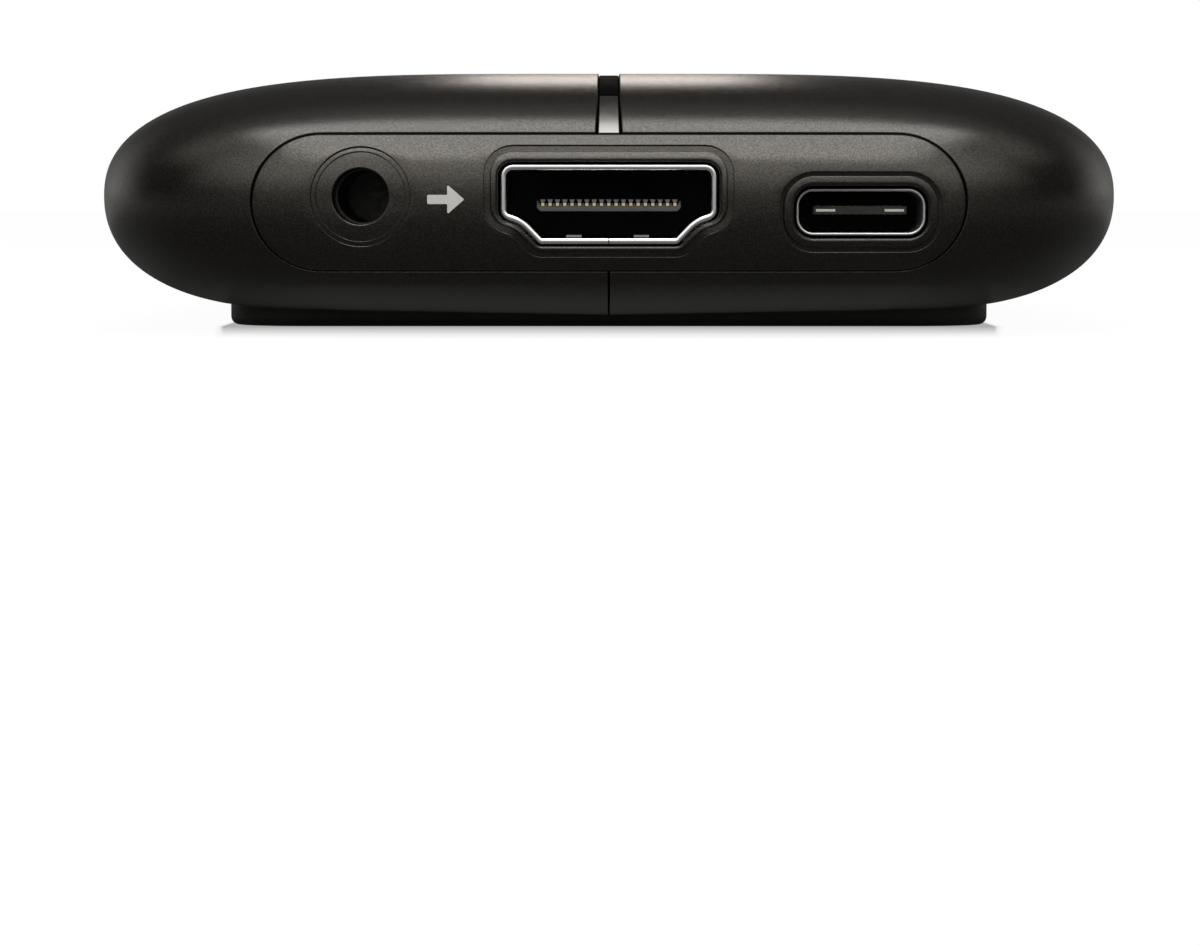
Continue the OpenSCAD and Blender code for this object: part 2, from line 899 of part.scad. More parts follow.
// Drawn metal shell of the data socket, on feet that stand on the board
module data_socket_shell() {
    foot_l = data_back + plate_back - board_gap;
    color(steel) {
        front_on(data_y, data_l)
            difference() {
                data_outline(0);
                data_outline(-data_sheet);
            }
        for (s = [-1, 1])
            translate([data_x + s * (data_w - data_h) / 2 - data_sheet, data_back - foot_l, board_top])
                cube([2 * data_sheet, foot_l, data_lift + data_sheet / 2]);
    }
}

module data_socket_insulator() {
    color(black) {
        front_on(data_block_y, data_back - data_block_y)
            data_outline(-data_sheet - pin_gap / 2);
        front_on(data_tongue_y, data_reach)
            translate([data_x, data_z])
                square([data_tongue_w, data_tongue_t], center = true);
    }
}

module data_socket_contacts() {
    last = (data_pins - 1) / 2;
    color(gold)
        for (i = [-last : last], up = [-1, 1])
            translate([data_x + i * data_pitch - data_pin_w / 2, data_tongue_y,
                       data_z + up * (data_tongue_t + data_pin_t) / 2 - data_pin_t / 2])
                cube([data_pin_w, data_reach, data_pin_t]);
}

jack_side = abs(jack_x) + jack_w / 2;
jack_y = board_gap - plan_y(jack_side, board_top, wall + flange_t);
nose_y = board_gap - plan_y(abs(jack_x) + jack_nose / 2, jack_z - jack_nose / 2, wall + flange_t);
spring_slot = 0.5;

module audio_jack_body() {
    color(black)
        difference() {
            union() {
                translate([jack_x - jack_w / 2, jack_y, board_top])
                    cube([jack_w, jack_l, jack_h]);
                translate([jack_x, nose_y, jack_z])
                    rotate([-90, 0, 0])
                        cylinder(d = jack_nose, h = jack_y - nose_y + over);
            }
            translate([jack_x, nose_y - over, jack_z])
                rotate([-90, 0, 0])
                    cylinder(d = jack_bore, h = jack_depth + over);
            for (s = [-1, 1])
                translate([jack_x + s * (jack_w - spring_slot) / 2, jack_y + jack_l / 2, jack_z])
                    cube([spring_slot + pin_gap, jack_l / 2, 2 * jack_h], center = true);
        }
}

// Spring leaves in the sides of the jack, standing on the board
module audio_jack_springs() {
    color(gold)
        for (s = [-1, 1])
            translate([jack_x + s * (jack_w / 2 - spring_slot / 2) - spring_slot / 4,
                       jack_y + jack_l / 4 + pin_gap, board_top])
                cube([spring_slot / 2, jack_l / 2 - 2 * pin_gap, jack_h * 0.8]);
}

// Flat chip that stands on the board
module chip(x, y, w, l, h) {
    translate([x - w / 2, y - l / 2, board_top])
        cube([w, l, h]);
}

module capture_processor() {
    color(black)
        chip(0, processor_y, processor_w, processor_w, processor_h);
}

module thermal_pad() {
    w = processor_w - 2 * thermal_margin;
    color("#8fa7b5")
        translate([0, 0, processor_h])
            chip(0, processor_y, w, w, thermal_t);
}

module heat_spreader() {
    color("#a9abad")
        translate([0, 0, processor_h + thermal_t])
            chip(0, processor_y, spreader_w, spreader_l, spreader_t);
}

module memory_chips() {
    color(black)
        for (s = [-1, 1])
            chip(s * (processor_w / 2 + chip_space + memory_w / 2), processor_y, memory_w, memory_l, chip_h);
}

module video_receiver() {
    color(black)
        chip(0, receiver_y, video_chip_w, video_chip_w, chip_h);
}

// Sheet cover over the video receiver
module shield_can() {
    inside = can_w - 2 * can_sheet;
    color(steel)
        difference() {
            chip(0, receiver_y, can_w, can_w, can_h);
            translate([0, 0, -over])
                chip(0, receiver_y, inside, inside, can_h - can_sheet + over);
        }
}

module video_transmitter() {
    color(black)
        chip(0, transmitter_y, video_chip_w, video_chip_w, chip_h);
}

module data_controller() {
    color(black)
        chip(port_chip_x - data_chip_w / 2, port_chip_y, data_chip_w, data_chip_w, chip_h);
}

module audio_converter() {
    color(black)
        chip(audio_chip_w / 2 - port_chip_x, port_chip_y, audio_chip_w, audio_chip_w, chip_h);
}

// Clock crystals beside the data controller and the video transmitter
module crystals() {
    color(steel) {
        chip(port_chip_x - data_chip_w / 2, port_chip_y + (data_chip_w + crystal_w) / 2 + chip_space,
             crystal_w, crystal_w, chip_h);
        chip((video_chip_w + crystal_w) / 2 + chip_space, transmitter_y, crystal_w, crystal_w, chip_h);
    }
}

// Row of coils of the supply
module inductors() {
    row_x = -(video_chip_w + inductor_w) / 2 - chip_space;
    color("#3a3a3a")
        for (k = [0 : inductor_n - 1])
            translate([0, (k - 1) * (inductor_w + chip_space), 0])
                chip(row_x, transmitter_y, inductor_w, inductor_w, inductor_h);
}

// Row of capacitors along the front of the processor
module capacitors() {
    row_y = processor_y - (processor_w + capacitor_l) / 2 - chip_space;
    color("#b59a6a")
        for (k = [0 : capacitor_n - 1])
            chip((k - (capacitor_n - 1) / 2) * (capacitor_w + chip_space / 2), row_y,
                 capacitor_w, capacitor_l, capacitor_w);
}

module status_lights() {
    color("#f2f0e4")
        for (s = [-1, 1])
            chip(0, s * lamp_y, strip_w, lamp_l, lamp_h);
}

module screw(d, head_d, head_t, l) {
    cylinder(d = d, h = l);
    translate([0, 0, -head_t])
        cylinder(d = head_d, h = head_t);
}

module case_screws() {
    color(steel)
        four(boss_x, boss_y)
            translate([0, 0, case_seat_z])
                screw(case_screw_d, case_head_d, case_head_t, case_screw_l);
}

module board_screws() {
    color(steel)
        four(board_screw_x, board_screw_y)
            translate([0, 0, board_top])
                rotate([180, 0, 0])
                    screw(board_screw_d, board_head_d, board_head_t, board_top - floor_z - pin_gap);
}

left_shell();
right_shell();
front_port_plate();
rear_port_plate();
centre_strip();
front_light_guide();
rear_light_guide();
foot_pad();
inner_frame();
main_board();
video_in_shell();
video_in_insulator();
video_in_contacts();
video_out_shell();
video_out_insulator();
video_out_contacts();
data_socket_shell();
data_socket_insulator();
data_socket_contacts();
audio_jack_body();
audio_jack_springs();
capture_processor();
thermal_pad();
heat_spreader();
memory_chips();
video_receiver();
video_transmitter();
data_controller();
audio_converter();
shield_can();
crystals();
inductors();
capacitors();
status_lights();
case_screws();
board_screws();
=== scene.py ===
import json
import math
import bmesh
import bpy
import numpy as np
from mathutils import Matrix, Vector, geometry


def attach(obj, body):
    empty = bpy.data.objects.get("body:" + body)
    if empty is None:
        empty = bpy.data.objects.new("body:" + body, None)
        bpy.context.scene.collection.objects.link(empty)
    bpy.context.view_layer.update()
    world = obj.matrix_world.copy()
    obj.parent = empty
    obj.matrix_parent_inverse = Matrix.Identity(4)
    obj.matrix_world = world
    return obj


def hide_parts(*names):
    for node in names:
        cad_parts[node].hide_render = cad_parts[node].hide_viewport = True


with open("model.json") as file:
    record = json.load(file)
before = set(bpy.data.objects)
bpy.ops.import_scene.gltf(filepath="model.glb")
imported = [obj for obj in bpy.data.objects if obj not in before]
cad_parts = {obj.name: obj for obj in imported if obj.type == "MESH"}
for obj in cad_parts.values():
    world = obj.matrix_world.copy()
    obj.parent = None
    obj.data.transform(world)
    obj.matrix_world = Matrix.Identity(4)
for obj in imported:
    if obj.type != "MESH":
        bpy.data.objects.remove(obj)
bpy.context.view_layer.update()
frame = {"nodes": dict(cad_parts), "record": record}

cadNodes = frame["nodes"]
scene = bpy.context.scene
mm = 0.001  # sizes below are in millimetres, meshes in metres
print("frame loaded:", len(cadNodes), "nodes")


shot = {
    "lens": 116.3,  # mm, on a sensor 36 mm wide
    "sensor": 36.0,
    "stand": (0.0, -318.0, 9.5),  # mm from the middle of the foot
    "pitch": 4.04,  # degrees below the horizon
    "yaw": 0.13,  # degrees to the left
    "clip": (0.005, 50.0),  # metres
}

studio = {
    "panels": {  # metres, and radiance
        "overheadPanel": {"place": (0.0, -0.34, 0.8), "size": (0.72, 1.02), "aim": (0.0, -0.34, 0.0),
                          "level": 3.6, "colour": (1.0, 1.0, 1.0)},
        "backStrip": {"place": (0.0, 1.4, 0.455), "size": (0.13, 0.33), "aim": (0.0, 0.0, 0.01),
                      "level": 2.0, "colour": (1.0, 0.91, 0.84)},
    },
    "areas": (  # radiance of the room, and how far a direction points each way before it meets that part
        (0.36, {"front": (0.6, 1.0)}),  # behind the camera
        (1.75, {"front": (0.15, 0.8), "up": (0.0, 0.48)}),  # its upper part
        (0.25, {"up": (0.7, 0.95)}),  # straight above
        (0.55, {"beside": (0.3, 0.55), "front": (-0.5, -0.1), "up": (0.45, 0.7)}),  # high on both sides
        (0.15, {"back": (0.3, 0.8), "up": (0.25, 0.0)}),  # pale air low behind the box
        (0.25, {"back": (0.4, 0.7), "up": (0.5, 0.2), "beside": (0.3, 0.55)}),  # to its left and right
    ),
    "warmth": (1.0, 0.985, 0.94),  # colour of the room in a reflection
    "backGloss": 0.04,  # share of the white background that shows in a reflection
    "floorSeen": 0.9,  # grey of the floor to the camera, and in the light that it throws back
    "floorBounce": 0.05,
    "floorGloss": 0.07,  # share of the white floor that shows in a reflection close by
    "floorAhead": (0.02, 0.045),  # metres to the side, where that share ends
    "floorHaze": (0.05, 0.16),  # metres from the middle, where a reflection turns to the pale air
    "floorPale": 0.15,  # level of that air
    "floorSize": 12.0,
    "floorFade": (1.0, 2.6),  # metres from the middle, where the floor turns to plain white
    "contact": (28.7, 29.0),  # half sizes of the patch that stands on the floor, mm
    "contactFade": (0.0, 0.018),  # metres from it, where the shadow gives way to white
    "contactWhite": (0.4, 0.86),
    "contactEnd": (0.018, 0.045),  # where the rest of it ends
    "contactRest": 0.11,
    "contactTaper": 0.1,  # how fast the shadow narrows away from the box
    "contactSide": 60.0,  # how much sooner it ends to the sides than to the front
}


def placeCamera(view):
    data = bpy.data.cameras.new("photoCamera")
    data.lens = view["lens"]
    data.sensor_width = view["sensor"]
    data.sensor_fit = "HORIZONTAL"
    data.clip_start, data.clip_end = view["clip"]
    camera = bpy.data.objects.new("photoCamera", data)
    camera.location = Vector(view["stand"]) * mm
    camera.rotation_euler = (math.radians(90 - view["pitch"]), 0, math.radians(view["yaw"]))
    scene.collection.objects.link(camera)
    scene.camera = camera


def hangPanel(name, look):
    data = bpy.data.lights.new(name, "AREA")
    data.shape = "RECTANGLE"
    data.size, data.size_y = look["size"]
    data.energy = look["level"] * math.pi * data.size * data.size_y
    data.color = look["colour"]
    panel = bpy.data.objects.new(name, data)
    panel.location = look["place"]
    towards = Vector(look["aim"]) - Vector(look["place"])
    panel.rotation_euler = towards.to_track_quat("-Z", "Y").to_euler()
    scene.collection.objects.link(panel)


class Wire:
    # an output socket that can be used in plain sums
    def __init__(self, tree, socket):
        self.tree = tree
        self.socket = socket

    def sum(self, operation, first, second):
        node = self.tree.nodes.new("ShaderNodeMath")
        node.operation = operation
        plug(self.tree, node.inputs[0], first)
        plug(self.tree, node.inputs[1], second)
        return Wire(self.tree, node.outputs[0])

    def __add__(self, other):
        return self.sum("ADD", self, other)

    def __sub__(self, other):
        return self.sum("SUBTRACT", self, other)

    def __rsub__(self, other):
        return self.sum("SUBTRACT", other, self)

    def __mul__(self, other):
        return self.sum("MULTIPLY", self, other)

    __radd__ = __add__
    __rmul__ = __mul__

    def larger(self, other):
        return self.sum("MAXIMUM", self, other)

    def magnitude(self):
        return self.larger(0 - self)

    def length(self, other):
        square = self * self + other * other
        return square.sum("POWER", square, 0.5)


def plug(tree, socket, value):
    if isinstance(value, list):
        for wire in value:
            tree.links.new(wire.socket, socket)
    elif isinstance(value, Wire):
        tree.links.new(value.socket, socket)
    elif hasattr(socket.default_value, "__len__") and len(socket.default_value) == 4 and len(value) == 3:
        socket.default_value = (*value, 1.0)
    else:
        socket.default_value = value


class Nodes:
    # adds nodes to one tree
    def __init__(self, tree):
        self.tree = tree

    def add(self, kind, settings=None, inputs=None, output=0):
        node = self.tree.nodes.new(kind)
        for name, value in (settings or {}).items():
            setattr(node, name, value)
        for name, value in (inputs or {}).items():
            plug(self.tree, node.inputs[name], value)
        return None if output is None else Wire(self.tree, node.outputs[output])


seenRays = ("Is Camera Ray", "Is Glossy Ray", "Is Transmission Ray")
noiseRange = (0.3, 0.7)  # where most of a noise lies


class Finish(Nodes):
    # builds the node tree of a material or the world
    def __init__(self, owner):
        owner.use_nodes = True
        super().__init__(owner.node_tree)
        self.owner = owner
        self.tree.nodes.clear()

    def place(self):
        return self.add("ShaderNodeTexCoord", output="Object")

    def grain(self, scale, detail=2.0, roughness=0.5, stretch=None):
        where = self.place()
        if stretch:
            where = self.add("ShaderNodeMapping", {}, {"Vector": where, "Scale": stretch})
        noise = {"Vector": where, "Scale": scale, "Detail": detail, "Roughness": roughness}
        return self.add("ShaderNodeTexNoise", {}, noise)

    def axes(self, vector, names):
        return [self.add("ShaderNodeSeparateXYZ", {}, {"Vector": vector}, name) for name in names]

    def rays(self):
        return [self.add("ShaderNodeLightPath", output=name) for name in seenRays]

    def spread(self, value, low, high, toLow=0.0, toHigh=1.0):
        ends = {"From Min": low, "From Max": high, "To Min": toLow, "To Max": toHigh}
        return self.add("ShaderNodeMapRange", {"clamp": True}, {"Value": value, **ends})

    def uneven(self, noise, low, high):
        return self.spread(noise, *noiseRange, low, high)

    def blendColours(self, factor, first, second):
        return self.add("ShaderNodeMix", {"data_type": "RGBA"}, {0: factor, 6: first, 7: second}, 2)

    def bump(self, height, strength, distance):
        return self.add("ShaderNodeBump", {}, {"Height": height, "Strength": strength, "Distance": distance})

    def end(self, shader, kind="ShaderNodeOutputMaterial"):
        self.add(kind, {}, {"Surface": shader}, None)
        return self.owner

    def shade(self, sockets):
        return self.end(self.add("ShaderNodeBsdfPrincipled", {}, sockets))


def newFinish(slot):
    first, *others = slot.split("_")
    return Finish(bpy.data.materials.new(first + "".join(word.title() for word in others)))


def lightWorld(stage):
    # a dim room with a few bright parts in reflections, plain white to the camera
    world = bpy.data.worlds.new("studioWorld")
    scene.world = world
    tree = Finish(world)
    across, back, height = tree.axes(tree.add("ShaderNodeTexCoord"), "XYZ")
    ways = {"beside": across.magnitude(), "front": 0 - back, "back": back, "up": height}
    room = 0
    for part, limits in stage["areas"]:
        for way, ends in limits.items():
            part = part * tree.spread(ways[way], *ends)
        room = room + part
    camera, glossy, passing = tree.rays()
    shown = camera + passing + glossy * stage["backGloss"]
    colour = tree.blendColours(camera, stage["warmth"], (1, 1, 1))
    level = room * (1 - shown) + shown
    light = tree.add("ShaderNodeBackground", {}, {"Color": colour, "Strength": level})
    tree.end(light, "ShaderNodeOutputWorld")


def floorFinish(stage):
    # lit floor near the box, plain white further out
    look = newFinish("pale_floor")
    camera, glossy, passing = look.rays()
    grey = look.blendColours(camera, (stage["floorBounce"],) * 3, (stage["floorSeen"],) * 3)
    where = look.place()
    away = look.add("ShaderNodeVectorMath", {"operation": "LENGTH"}, {0: where}, 1)
    far = look.spread(away, *stage["floorFade"])
    pale = look.spread(away, *stage["floorHaze"], 0, stage["floorPale"])
    across, along = [axis.magnitude() for axis in look.axes(where, "XY")]
    halfWidth, halfLength = [half * mm for half in stage["contact"]]
    ends = (along - halfLength).larger(0)
    beside = (across - halfWidth + ends * stage["contactTaper"]).larger(0)
    gap = (beside * stage["contactSide"]).length(ends)
    around = look.spread(gap, *stage["contactFade"], *stage["contactWhite"]) \
        + look.spread(gap, *stage["contactEnd"], 0, stage["contactRest"])
    ahead = look.spread(across, *stage["floorAhead"], stage["floorGloss"], 0)
    mirrored = (glossy + passing) * pale.larger(around * ahead)
    white = look.spread(camera * around.larger(far) + mirrored, 0, 1)
    near = look.add("ShaderNodeBsdfDiffuse", {}, {"Color": grey})
    tone = look.blendColours(camera, stage["warmth"], (1, 1, 1))
    plain = look.add("ShaderNodeEmission", {}, {"Color": tone, "Strength": 1.0})
    return look.end(look.add("ShaderNodeMixShader", {}, {0: white, 1: near, 2: plain}))


def setStage(stage):
    lightWorld(stage)
    for name, look in stage["panels"].items():
        hangPanel(name, look)
    half = stage["floorSize"] / 2
    mesh = bpy.data.meshes.new("floor")
    corners = [(-half, -half, 0), (half, -half, 0), (half, half, 0), (-half, half, 0)]
    mesh.from_pydata(corners, [], [(0, 1, 2, 3)])
    mesh.materials.append(floorFinish(stage))
    floor = bpy.data.objects.new("floor", mesh)
    scene.collection.objects.link(floor)


scene.view_settings.view_transform = "Standard"
placeCamera(shot)
setStage(studio)
print("camera, light and floor are set")


# finishes

paint = {
    "colour": (0.0042, 0.0039, 0.0033),
    "fleck": (0.0135, 0.0122, 0.0105),
    "fleckFrom": (0.4, 0.7),
    "roughness": (0.2, 0.26),
    "shares": (0.7, 0.3),  # of the fine and the broad grain in the roughness
    "sheen": 0.46,  # specular level
    "tint": (1.0, 0.945, 0.86),
    "glint": (0.0, 0.5),  # clear coat over the flecks
    "glintFrom": (0.42, 0.62),
    "glintRoughness": 0.2,
    "fine": (9000.0, 2.0, 0.6),  # cells per metre, detail and roughness of the grain
    "broad": (1620.0, 1.0),
    "bump": (0.7, 0.000012),  # strength and height in metres
}


def housingPaint(look):
    tree = newFinish("housing_paint")
    fine, broad = tree.grain(*look["fine"]), tree.grain(*look["broad"])
    fineShare, broadShare = look["shares"]
    return tree.shade({
        "Base Color": tree.blendColours(tree.spread(fine, *look["fleckFrom"]), look["colour"], look["fleck"]),
        "Roughness": tree.uneven(fine * fineShare + broad * broadShare, *look["roughness"]),
        "Specular IOR Level": look["sheen"],
        "Specular Tint": look["tint"],
        "Coat Weight": tree.spread(fine, *look["glintFrom"], *look["glint"]),
        "Coat Roughness": look["glintRoughness"],
        "Normal": tree.bump(fine, *look["bump"]),
    })


guidePaintedShade = {
    "heights": (14.0, 16.3),  # mm, where the painted shade is palest and darkest
    "dark": (0.07, 0.068, 0.064),
    "light": (0.225, 0.219, 0.208),
    "shares": (0.9, 0.1),  # of the painted shade by height and the haze in its tone
    "haze": (1500.0, 2.0),
    "roughness": (0.28, 0.34),
    "metallic": 0.9,
    "bump": (0.05, 0.00001),
}


# painted shade and highlight: the colour runs from pale low on the guide to dark high on it, as the light on
# its curve falls off
def lightGuideFinish(look):
    tree = newFinish("light_guide")
    haze = tree.grain(*look["haze"])
    height = tree.axes(tree.place(), "Z")[0]
    # painted shade: 1 (pale) at the lower height, 0 (dark) at the upper
    fall = tree.spread(height, *[z * mm for z in look["heights"]], 1, 0)
    fallShare, hazeShare = look["shares"]
    return tree.shade({
        "Base Color": tree.blendColours(fall * fallShare + haze * hazeShare, look["dark"], look["light"]),
        "Roughness": tree.uneven(haze, *look["roughness"]),
        "Metallic": look["metallic"],
        "Normal": tree.bump(haze, *look["bump"]),
    })


lacquer = {
    "weave": (700.0, 3.0, 0.55),
    "ground": (0.004, 0.024, 0.013),
    "groundShare": 0.5,
    "tracks": {"Scale": 160.0, "Mortar Size": 0.06, "Color1": (0.004, 0.03, 0.016),
               "Color2": (0.006, 0.04, 0.021), "Mortar": (0.012, 0.075, 0.04)},
    "roughness": (0.28, 0.42),
    "bump": (0.1, 0.00002),
}


def boardLacquer(look):
    tree = newFinish("board_lacquer")
    weave = tree.grain(*look["weave"])
    tracks = tree.add("ShaderNodeTexBrick", {"offset": 0.5}, {"Vector": tree.place(), **look["tracks"]})
    return tree.shade({
        "Base Color": tree.blendColours(weave * look["groundShare"], tracks, look["ground"]),
        "Roughness": tree.uneven(weave, *look["roughness"]),
        "Normal": tree.bump(weave, *look["bump"]),
    })


# noise: cells per metre, detail, roughness and stretch; bump: strength and height in metres
skins = {
    "brushed": {"noise": (2400.0, 3.0, 0.6, (1, 1, 12)), "bump": (0.06, 0.000008), "Metallic": 1.0},
    "moulded": {"noise": (2200.0, 3.0, 0.6), "bump": (0.12, 0.00001), "Specular IOR Level": 0.5},
    "lacquered": {"noise": (900.0, 3.0), "Specular IOR Level": 0.001},
    "rubber": {"noise": (2600.0, 4.0, 0.65), "bump": (0.35, 0.00003), "Specular IOR Level": 0.5},
}
skins["dull"] = {**skins["moulded"], "Specular IOR Level": 0.1}
skins["printed"] = {**skins["moulded"], "noise": (3000.0, 3.0, 0.6)}
skins["potted"] = {**skins["moulded"], "noise": (3200.0, 3.0, 0.6)}

# kind of skin, dark and light tone, roughness
surfaces = {
    "gloss_black": ("lacquered", (0.0015, 0.0015, 0.0015), (0.003, 0.003, 0.0028), (0.42, 0.52)),
    "foot_rubber": ("rubber", (0.06, 0.057, 0.052), (0.09, 0.086, 0.079), (0.3, 0.42)),
    "frame_plastic": ("moulded", (0.018, 0.018, 0.019), (0.03, 0.03, 0.031), (0.5, 0.66)),
    "socket_metal": ("brushed", (0.84, 0.85, 0.87), (0.94, 0.95, 0.97), (0.1, 0.18)),
    # painted shade: near-black, dull copy of the socket plastic, used deep inside the sockets
    "socket_plastic": ("dull", (0.0018, 0.0018, 0.0017), (0.0035, 0.0035, 0.0033), (0.55, 0.7)),
    # painted shade: dark copy of the socket metal for the spring tabs, which are part of the same shell
    "tab_metal": ("brushed", (0.2, 0.2, 0.195), (0.28, 0.28, 0.27), (0.3, 0.42)),
    "jack_plastic": ("moulded", (0.03, 0.025, 0.019), (0.045, 0.037, 0.028), (0.3, 0.45)),
    "data_metal": ("brushed", (0.46, 0.46, 0.465), (0.56, 0.56, 0.565), (0.35, 0.48)),
    # painted light: tongue_plastic, cap_plastic and data_plastic are lighter copies of that same socket
    # plastic, with the caps palest as a painted highlight on their tops
    "tongue_plastic": ("moulded", (0.055, 0.055, 0.053), (0.095, 0.094, 0.091), (0.4, 0.55)),
    "cap_plastic": ("moulded", (0.11, 0.11, 0.112), (0.17, 0.17, 0.172), (0.4, 0.55)),
    "data_plastic": ("moulded", (0.013, 0.013, 0.0125), (0.02, 0.02, 0.019), (0.45, 0.6)),
    "bright_tin": ("brushed", (0.7, 0.69, 0.64), (0.82, 0.81, 0.76), (0.3, 0.42)),
    "mark_silver": ("printed", (0.5, 0.5, 0.48), (0.62, 0.62, 0.6), (0.35, 0.5)),
    "contact_gold": ("brushed", (0.86, 0.66, 0.34), (0.95, 0.78, 0.46), (0.3, 0.42)),
    "chip_plastic": ("potted", (0.012, 0.012, 0.0125), (0.022, 0.022, 0.022), (0.55, 0.7)),
    "heat_metal": ("brushed", (0.5, 0.5, 0.5), (0.64, 0.64, 0.64), (0.3, 0.45)),
    "thermal_rubber": ("moulded", (0.2, 0.23, 0.27), (0.26, 0.29, 0.33), (0.75, 0.9)),
    "ceramic": ("moulded", (0.3, 0.22, 0.15), (0.4, 0.31, 0.22), (0.4, 0.55)),
    "screw_steel": ("brushed", (0.3, 0.3, 0.31), (0.42, 0.42, 0.43), (0.28, 0.4)),
}


def skinFinish(slot, kind, dark, light, roughness):
    tree = newFinish(slot)
    look = dict(skins[kind])
    noise = tree.grain(*look.pop("noise"))
    bump = look.pop("bump", None)
    sockets = {"Base Color": tree.blendColours(noise, dark, light),
               "Roughness": tree.uneven(noise, *roughness)}
    if bump:
        sockets["Normal"] = tree.bump(noise, *bump)
    return tree.shade({**sockets, **look})


finishes = {slot: skinFinish(slot, *row) for slot, row in surfaces.items()}
finishes["housing_paint"] = housingPaint(paint)
finishes["light_guide"] = lightGuideFinish(guidePaintedShade)
finishes["board"] = boardLacquer(lacquer)
print("finishes made:", len(finishes))


# shape of the housing

housing = {
    "halfWidth": 37.5,
    "halfLength": 56.0,
    "top": 18.7,
    "bottom": 0.6,
    "equator": 9.65,
    "planPower": 5.0,
    "upperSide": (2.3, 4.2),  # power at the rim and at the crown
    "lowerSide": (2.15, 5.4),
    "upperEnd": (2.3, 7.0),
    "lowerEnd": (3.0, 6.0),
    "groove": ((14.04, 0.9), (16.75, 0.73)),  # half width of the groove on top, by height
    "lift": ((0.0, 0.27), (6.5, 0.38), (13.8, 0.49),  # of the underside, by distance from the middle
             (21.0, 0.44), (28.0, 0.07), (31.0, 0.0)),
    "liftFrom": (3.6, 1.4),  # heights between which the lift sets in
    "seam": 0.055,
    "wall": 1.3,
    "edge": 0.1,  # rounding of the edges
    "edgeSteps": 3,
    "edgeAngle": 55,  # degrees, above which an edge is rounded
    "columns": 132,
    "rows": 190,
}

plate = {
    "halfWidth": 24.2,
    "halfHeight": 4.61,
    "middle": 9.24,
    "gap": 0.14,
    "edge": 0.1,
    "crease": 32,
    "mesh": 0.75,  # spacing of the points inside the face
    "rimMesh": 0.32,
}

farthest = 1.6  # length of a ray that surely ends outside the housing
halvings = 46
tiny = 1e-9  # keeps a division from failing


def crownShare(z, powers):
    upper, lower = powers
    z = np.asarray(z, float)
    up = z > housing["equator"]
    reach = np.where(up, housing["top"] - housing["equator"], housing["equator"] - housing["bottom"])
    share = np.clip(np.abs(z - housing["equator"]) / reach, 0, 1)
    rim = np.where(up, upper[0], lower[0])
    power = np.where(up, upper[1], lower[1])
    return np.maximum(1 - share ** rim, 0) ** (1 / power)


def widthAt(z):
    return housing["halfWidth"] * crownShare(z, (housing["upperSide"], housing["lowerSide"]))


def lengthAt(z):
    return housing["halfLength"] * crownShare(z, (housing["upperEnd"], housing["lowerEnd"]))


def endFace(x, z):
    # distance of the end face from the middle of the box
    power = housing["planPower"]
    share = np.clip(np.abs(x) / np.maximum(widthAt(z), tiny), 0, 1)
    return lengthAt(z) * (1 - share ** power) ** (1 / power)


def surfaceAlong(directions, middle):
    # where rays from the middle leave the housing
    power = housing["planPower"]
    low = np.zeros(directions.shape[:-1])
    high = np.full(low.shape, farthest)
    for step in range(halvings):
        reach = (low + high) / 2
        point = directions * reach[..., None]
        z = point[..., 2] + middle
        inside = (np.abs(point[..., 0]) / np.maximum(widthAt(z), tiny)) ** power \
            + (np.abs(point[..., 1]) / np.maximum(lengthAt(z), tiny)) ** power < 1
        inside &= (z < housing["top"]) & (z > housing["bottom"])
        low = np.where(inside, reach, low)
        high = np.where(inside, high, reach)
    return directions * low[..., None] + np.array([0, 0, middle])


def plateEdgeAlong(across, up):
    # distance from the plate's middle to its opening
    radius = plate["halfHeight"] + plate["gap"]
    flat = plate["halfWidth"] - plate["halfHeight"]
    straight = radius / np.maximum(np.abs(up), tiny)
    lean = across * flat
    rounded = lean + np.sqrt(np.maximum(lean ** 2 - flat ** 2 + radius ** 2, 0))
    return np.where(straight * across <= flat, straight, rounded)


def meshPiece(name, points, faces, finish):
    mesh = bpy.data.meshes.new(name)
    points = [tuple(float(c) * mm for c in p) for p in points]
    mesh.from_pydata(points, [], [tuple(int(i) for i in f) for f in faces])
    mesh.materials.append(finishes[finish])
    mesh.polygons.foreach_set("use_smooth", [True] * len(mesh.polygons))
    piece = bpy.data.objects.new(name, mesh)
    scene.collection.objects.link(piece)
    return piece


mergeDistance = 1e-7  # metres


def faceOutward(piece):
    work = bmesh.new()
    work.from_mesh(piece.data)
    bmesh.ops.remove_doubles(work, verts=work.verts, dist=mergeDistance)
    bmesh.ops.recalc_face_normals(work, faces=work.faces)
    work.to_mesh(piece.data)
    work.free()
    return piece


def crease(piece, degrees):
    # keeps edges sharper than the given angle crisp
    piece.data.set_sharp_from_angle(angle=math.radians(degrees))
    return piece


def settle(piece, finish, *replaced):
    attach(piece, "root")
    if replaced:
        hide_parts(*replaced)
    return piece


